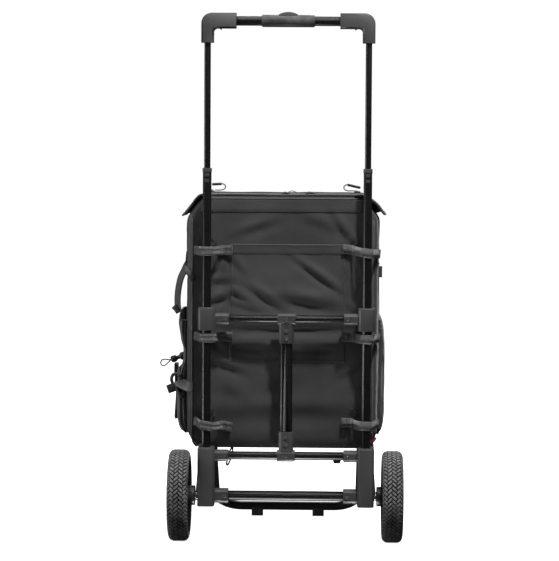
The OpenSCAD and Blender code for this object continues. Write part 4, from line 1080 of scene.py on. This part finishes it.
side_pocket(
    "right_pocket", 1,
    [(BASE_Z + a, b, c) for a, b, c in (
        (0.016, 0.004, 0.86), (0.030, 0.0085, 0.97), (0.060, 0.0115, 1.0), (0.200, 0.0112, 1.0), (0.236, 0.0085, 1.0), (0.245, 0.0070, 1.0),
    )],
    plain, 0.0, None, BAG_R - 0.002, ["side_pocket_right"], PANEL,
)

# ---------- grab handle, buckle and webbing on the left side ----------

hy = (low("grab_handle").y + high("grab_handle").y) / 2
handle_line = [
    (-0.0020, 0.366), (-0.0032, 0.354), (-0.0090, 0.340), (-0.0170, 0.322), (-0.0220, 0.297), (-0.0232, 0.274), (-0.0212, 0.262), (-0.0130, 0.256),
]
webbing = Parts()
path = smooth_path([(BAG_L + x, hy, BASE_Z + z) for x, z in handle_line], 5)
twists = [0.5 * ease(k / 7) * ease((len(path) - 1 - k) / 5) for k in range(len(path))]
ahead = directions(path)
across = [Vector((0, 1, 0)) * math.cos(a) - t.cross(Vector((0, 1, 0))) * math.sin(a) for a, t in zip(twists, ahead)]
ribbon(webbing, path, across, 0.0245, 0.0028, ribs=4, rib=0.0004)
for offset in (-0.0095, 0.0095):
    for lift in (0.0017, -0.0017):
        stitches(webbing, [p + w * offset + w.cross(t).normalized() * lift for p, w, t in zip(path, across, ahead)], Vector((1, 0, 0)), index=2)


def patch(points, across, width, thick, index, ribs=2):
    ribbon(webbing, smooth_path(points, 4), Vector(across), width, thick, ribs=ribs, index=index)


# Sewn ends of the handle, and the dark loop that comes round the corner beside its top
patch([(BAG_L - 0.0040, hy, BASE_Z + 0.377), (BAG_L - 0.0048, hy, BASE_Z + 0.366), (BAG_L - 0.0062, hy, BASE_Z + 0.352), (BAG_L - 0.0085, hy, BASE_Z + 0.346)], (0, 1, 0), 0.030, 0.0024, 1)
patch([(BAG_L - 0.0305, hy - 0.004, BASE_Z + 0.266), (BAG_L - 0.0255, hy - 0.006, BASE_Z + 0.2615), (BAG_L - 0.0195, hy - 0.008, BASE_Z + 0.2535)], (0.1, 0.4, 0.9), 0.012, 0.003, 1)
patch([(BAG_L - 0.0015, BAG_BACK + 0.018, BASE_Z + 0.352), (BAG_L + 0.0015, BAG_BACK + 0.003, BASE_Z + 0.345), (BAG_L + 0.009, BAG_BACK - 0.0015, BASE_Z + 0.336), (BAG_L + 0.0165, BAG_BACK - 0.0010, BASE_Z + 0.326)], (0.7, 0, 0.75), 0.011, 0.0026, 1)
# Light webbing from the bag's corner to the buckle, twisting as it goes
strap_path = smooth_path([
    (BAG_L + 0.0150, BAG_BACK - 0.0016, BASE_Z + 0.1135), (BAG_L + 0.0040, BAG_BACK + 0.0010, BASE_Z + 0.1150),
    (BAG_L - 0.0060, BAG_BACK + 0.018, BASE_Z + 0.1175), (BAG_L - 0.0150, py0 - 0.012, BASE_Z + 0.1190), (BAG_L - 0.0205, py0 - 0.008, BASE_Z + 0.1200),
], 4)
turns = [Vector((0.1 * t, t, 1 - 0.85 * t)) for t in np.linspace(0, 1, len(strap_path))]
ribbon(webbing, strap_path, turns, 0.0205, 0.0018, ribs=3, index=3)
tail = smooth_path([
    (BAG_L - 0.0215, py0 - 0.006, BASE_Z + 0.1180), (BAG_L - 0.0190, py0 - 0.011, BASE_Z + 0.1080),
    (BAG_L - 0.0130, py0 - 0.013, BASE_Z + 0.0970), (BAG_L - 0.0070, py0 - 0.012, BASE_Z + 0.0885),
], 4)
ribbon(webbing, tail, Vector((0.9, 0.3, 0.6)), 0.0065, 0.0016, ribs=2, index=3)
patch([(BAG_L - 0.0195, hy - 0.02, BASE_Z + 0.108), (BAG_L - 0.0200, hy - 0.02, BASE_Z + 0.088), (BAG_L - 0.0215, hy - 0.02, BASE_Z + 0.062), (BAG_L - 0.0225, hy - 0.02, BASE_Z + 0.046), (BAG_L - 0.0215, hy - 0.02, BASE_Z + 0.0405)], (0.35, 0.9, 0), 0.018, 0.0030, 1)
patch([(BAG_L - 0.0060, py0 - 0.006, BASE_Z + 0.158), (BAG_L - 0.0125, py0 - 0.008, BASE_Z + 0.150), (BAG_L - 0.0150, py0 - 0.010, BASE_Z + 0.140), (BAG_L - 0.0140, py0 - 0.010, BASE_Z + 0.133)], (0.3, 0.8, 0.3), 0.014, 0.0018, 3)
# Tab on the right side
tab_z = 0.5305
tab = smooth_path([
    (BAG_R - 0.005, BAG_BACK + 0.020, tab_z + 0.010), (BAG_R - 0.001, BAG_BACK + 0.020, tab_z + 0.0145),
    (BAG_R - 0.0022, BAG_BACK + 0.020, tab_z + 0.0195), (BAG_R - 0.006, BAG_BACK + 0.021, tab_z + 0.021),
], 4)
ribbon(webbing, tab, Vector((0, 1, 0)), 0.010, 0.0018, ribs=2, index=1)
frame_piece(webbing.build("side_webbing", [WEBBING, FABRIC, PALE, BINDING]), ["grab_handle"])
tab_fill = Parts()
block(tab_fill, (BAG_R - 0.0060, BAG_BACK + 0.0145, tab_z - 0.0110), (BAG_R + 0.0056, BAG_BACK + 0.0255, tab_z + 0.0110))
block(tab_fill, (BAG_R - 0.0064, BAG_BACK + 0.0135, tab_z - 0.0100), (BAG_R - 0.0044, BAG_BACK + 0.0147, tab_z + 0.0100), 1)
label = tab_fill.build("side_tab", [FABRIC, CORAL], smooth=False)
modifier(label, "BEVEL", width=0.0008, segments=2)
frame_piece(label)
scrap = Parts()
ribbon(scrap, smooth_path([(BAG_R - 0.021, BAG_BACK + 0.0030, BASE_Z + 0.0035), (BAG_R - 0.014, BAG_BACK + 0.0012, BASE_Z + 0.0060), (BAG_R - 0.008, BAG_BACK + 0.0030, BASE_Z + 0.0105), (BAG_R - 0.005, BAG_BACK + 0.0070, BASE_Z + 0.0150)], 4), Vector((-0.3, 0, 1)), 0.006, 0.0012)
frame_piece(scrap.build("corner_trim", [CORAL]))
dress(BUCKLE, "side_buckle", edge=0.0016, segments=3)
clip = Parts()
tilt = Matrix.Rotation(math.radians(-20), 3, "Y")
cx, cy, cz = BAG_L - 0.0300, py0 - 0.006, BASE_Z + 0.1075
block(clip, (cx - 0.0085, cy - 0.004, cz - 0.0085), (cx + 0.0085, cy + 0.004, cz + 0.0085), 0, tilt)
block(clip, (cx - 0.0060, cy - 0.0048, cz + 0.0015), (cx + 0.0060, cy + 0.0048, cz + 0.0035), 0, tilt)
block(clip, (cx - 0.0060, cy - 0.0048, cz - 0.0035), (cx + 0.0060, cy + 0.0048, cz - 0.0015), 0, tilt)
ring = smooth_path([
    (BAG_L - 0.0300, cy, BASE_Z + 0.118), (BAG_L - 0.0330, cy, BASE_Z + 0.128), (BAG_L - 0.0300, cy + 0.001, BASE_Z + 0.137),
    (BAG_L - 0.0215, cy + 0.001, BASE_Z + 0.1385), (BAG_L - 0.0135, cy, BASE_Z + 0.132), (BAG_L - 0.0120, cy, BASE_Z + 0.121),
    (BAG_L - 0.0180, cy, BASE_Z + 0.112),
], 5)
tube(clip, [p + Vector((0.003, 0, -0.003)) for p in ring], 0.0034, 8)
clip_obj = clip.build("strap_clip", [BUCKLE])
modifier(clip_obj, "BEVEL", width=0.001, segments=2, limit_method="ANGLE", angle_limit=math.radians(50))
frame_piece(clip_obj)

# ---------- piping, rim and what hangs under the bag ----------

piping = Parts()
for x, sign in ((BAG_L + 0.0130, -1), (BAG_R - 0.0130, 1)):
    line = []
    for z in np.linspace(RIM_Z - 0.044, FOOT_Z + 0.022, 70):
        at, n = bag_surface.back(x, z)
        line.append(at + n * 0.0008)
    line += [Vector((x - sign * 0.002, BAG_BACK + 0.0125, FOOT_Z + 0.011)), Vector((x - sign * 0.008, BAG_BACK + 0.018, FOOT_Z + 0.003))]
    tube(piping, line, 0.0019, 8)
rim = [Vector((p.x, p.y, RIM_Z - 0.0022)) for p, _, _ in ring_at(RIM_Z)]
tube(piping, rim + rim[:1], 0.0020, 8)
frame_piece(piping.build("bag_piping", [BINDING]))

lid_bits = Parts()
for x, wide, rise in ((-0.0035, 0.0060, 0.0016), (0.0455, 0.0090, 0.0022)):
    line = smooth_path([(x - wide, LID_BACK + 0.009, LID_Z - 0.0005 + rise), (x - wide / 3, LID_BACK + 0.006, LID_Z + 0.0005 + rise), (x + wide / 3, LID_BACK + 0.006, LID_Z + rise), (x + wide, LID_BACK + 0.008, LID_Z - 0.0012 + rise)], 4)
    ribbon(lid_bits, line, Vector((0, 1, 0.1)), 0.010, 0.0026, ribs=2)
finish_piece(lid_bits.build("lid_tabs", [FABRIC]), "lid")

under = Parts()
hang = [
    (-0.1080 + 0.0034 * math.sin(a) - 0.010 * t, MID_Y - 0.09, BASE_Z - 0.010 - 0.036 * t)
    for a, t in ((math.pi * k / 8, 0.5 - 0.5 * math.cos(math.pi * k / 8)) for k in range(16))
]
hang = [(-0.1080, MID_Y - 0.09, BASE_Z + 0.002)] + hang + [(-0.1080, MID_Y - 0.09, BASE_Z + 0.002)]
tube(under, smooth_path(hang, 3), 0.0017, 6)
frame_piece(under.build("hanging_tab", [CORD]))
bar = (low("deck_crossbar") + high("deck_crossbar")) / 2
bumper = Parts()
outline = [(-0.0085, 0.006), (-0.0085, -0.0075), (-0.0060, -0.0150), (0.0060, -0.0150), (0.0085, -0.0075), (0.0085, 0.006)]
body_rows = [[Vector((0.1005 + x * k, y, bar.z + z)) for x, z in outline] for y, k in ((bar.y + 0.0025, 0.9), (bar.y + 0.0035, 1), (bar.y + 0.0125, 1), (bar.y + 0.0135, 0.9))]
bumper.add([p for row in body_rows for p in row], grid_faces(4, 6, True) + [tuple(range(6)), tuple(18 + k for k in range(6))])
bump = bumper.build("bar_bumper", [BUCKLE], smooth=False)
modifier(bump, "BEVEL", width=0.0008, segments=2, limit_method="ANGLE")
frame_piece(bump)

# ---------- front pocket ----------

front_low, front_high = low("front_pocket"), high("front_pocket")


def front_pocket():
    rows = []
    depth = front_high.y - BAG_FRONT + 0.003
    for v in np.linspace(-1, 1, 64):
        row = []
        for u in np.linspace(-1, 1, 72):
            a, b = abs(u) ** 7, abs(v) ** 8
            rise = (1 - a) ** 0.28 * (1 - b) ** 0.28
            x = (front_low.x + front_high.x) / 2 + (front_high.x - front_low.x) / 2 * u * (1 - 0.02 * (1 - b) * a)
            z = (front_low.z + front_high.z) / 2 + (front_high.z - front_low.z) / 2 * v
            sag = 0.16 * (0.5 - 0.5 * v) + 0.84
            at = Vector((x, BAG_FRONT - 0.0025 + (depth - 0.003) * rise * sag, z))
            at.y += rise * (wrinkles(at, 5.7, 0.0022) + 0.0012 * math.sin(u * 9 + v * 4))
            row.append(at)
        rows.append(row)
    return rows


fp_rows = front_pocket()
fp = mesh_object("front_pouch", [p for row in fp_rows for p in row], grid_faces(64, 72), PANEL)
inflate(fp, [k for k in range(64 * 72) if k // 72 in (0, 63) or k % 72 in (0, 71)], 4, 0.004, slack=0.05)
fp_surface = Surface(fp)
frame_piece(fp, ["front_pocket"])
details = Parts()


def on_front(x, z, lift=0.0):
    at, n = fp_surface.hit((x, BAG_FRONT + 0.3, z), (0, -1, 0))
    return at + n * lift, n


for z in (0.300, 0.345, 0.390):
    line = [on_front(x, z, 0.0012)[0] for x in np.linspace(front_low.x + 0.022, front_high.x - 0.022, 70)]
    ribbon(details, line, Vector((0, 0, 1)), 0.024, 0.0014, ribs=4, index=0)
    for x in np.linspace(front_low.x + 0.03, front_high.x - 0.03, 7):
        stitches(details, [on_front(x, z + s, 0.0026)[0] for s in np.linspace(-0.011, 0.011, 12)], Vector((0, 1, 0)), pitch=0.0016, index=1)
arch = [(front_low.x + 0.014, 0.262), (front_low.x + 0.014, 0.440), (front_low.x + 0.022, 0.468), (front_low.x + 0.050, 0.480)]
arch = arch + [(front_low.x + front_high.x - x, z) for x, z in reversed(arch)]
arch = [(p.x, p.z) for p in smooth_path([(x, 0, z) for x, z in arch], 22)]
line = [on_front(x, z, 0.0008)[0] for x, z in arch]
normals = [on_front(x, z)[1] for x, z in arch]
ahead = directions(line)
ribbon(details, line, [n.cross(t) for n, t in zip(normals, ahead)], 0.016, 0.0010, index=2)
stitches(details, [p + n * 0.0009 for p, n in zip(line, normals)], normals, pitch=0.0022, size=0.0012, index=3)
for offset in (-0.0068, 0.0068):
    stitches(details, [p + n * 0.0008 + n.cross(t).normalized() * offset for p, n, t in zip(line, normals, ahead)], normals, index=1)
frame_piece(details.build("front_details", [WEBBING, PALE, PANEL, TUBE], smooth=False))

# ---------- finishing ----------

floor = mesh_object("floor", [(-30, -30, -0.0005), (30, -30, -0.0005), (30, 30, -0.0005), (-30, 30, -0.0005)], [(0, 1, 2, 3)], [])
paper = Material("paper", (0.8, 0.8, 0.8), 0.9)
paper.set(Emission_Color=(1, 1, 1, 1), Emission_Strength=0.95)
paper.bumps((paper.noise(40, 3), 0.001, 0.05))
floor.data.materials.append(paper.data)
floor.visible_diffuse = False
floor.visible_glossy = False

world = bpy.data.worlds.new("studio")
scene.world = world
world.use_nodes = True
nodes, links = world.node_tree.nodes, world.node_tree.links
back = nodes["Background"]
back.inputs["Color"].default_value = (1, 1, 1, 1)
dim = nodes.new("ShaderNodeBackground")
dim.inputs["Color"].default_value = (1, 1, 1, 1)
dim.inputs["Strength"].default_value = 0.08
mix = nodes.new("ShaderNodeMixShader")
path = nodes.new("ShaderNodeLightPath")
links.new(path.outputs["Is Camera Ray"], mix.inputs["Fac"])
links.new(dim.outputs[0], mix.inputs[1])
links.new(back.outputs[0], mix.inputs[2])
links.new(mix.outputs[0], nodes["World Output"].inputs["Surface"])


def softbox(name, place, target, width, height, power):
    light = bpy.data.lights.new(name, "AREA")
    light.shape = "RECTANGLE"
    light.size, light.size_y, light.energy = width, height, power
    obj = bpy.data.objects.new(name, light)
    obj.location = place
    aim(obj, target)
    scene.collection.objects.link(obj)


softbox("key", (0.64, -1.47, 3.22), (0, -0.1, 0.45), 0.2, 0.2, 155)
softbox("strip", (-2.3, -0.42, 0.62), (0, -0.12, 0.62), 0.22, 2.3, 26)
softbox("left", (-2.5, -1.7, 1.0), (-0.2, 0, 0.45), 0.6, 1.5, 10)
softbox("front", (0.5, -3.6, 2.4), (0, 0, 0.5), 1.6, 1.2, 4)
softbox("rear", (0.3, 3.0, 2.6), (0, 0.1, 0.5), 1.6, 1.2, 40)
softbox("overhead", (0, -1.45, 2.55), (0, CART_Y, 0.4), 3.0, 0.12, 29)
softbox("top", (0, CART_Y - 0.06, 2.5), (0, CART_Y - 0.06, 0), 1.6, 0.3, 14)
softbox("bounce", (0, CART_Y - 0.05, 0.002), (0, CART_Y - 0.05, 1), 0.34, 0.08, 0.3)
for name in ("overhead", "top", "bounce"):
    bpy.data.objects[name].visible_diffuse = False
bpy.data.objects["key"].visible_glossy = False
bpy.data.lights["bounce"].spread = math.radians(70)
scene.view_settings.view_transform = "Standard"
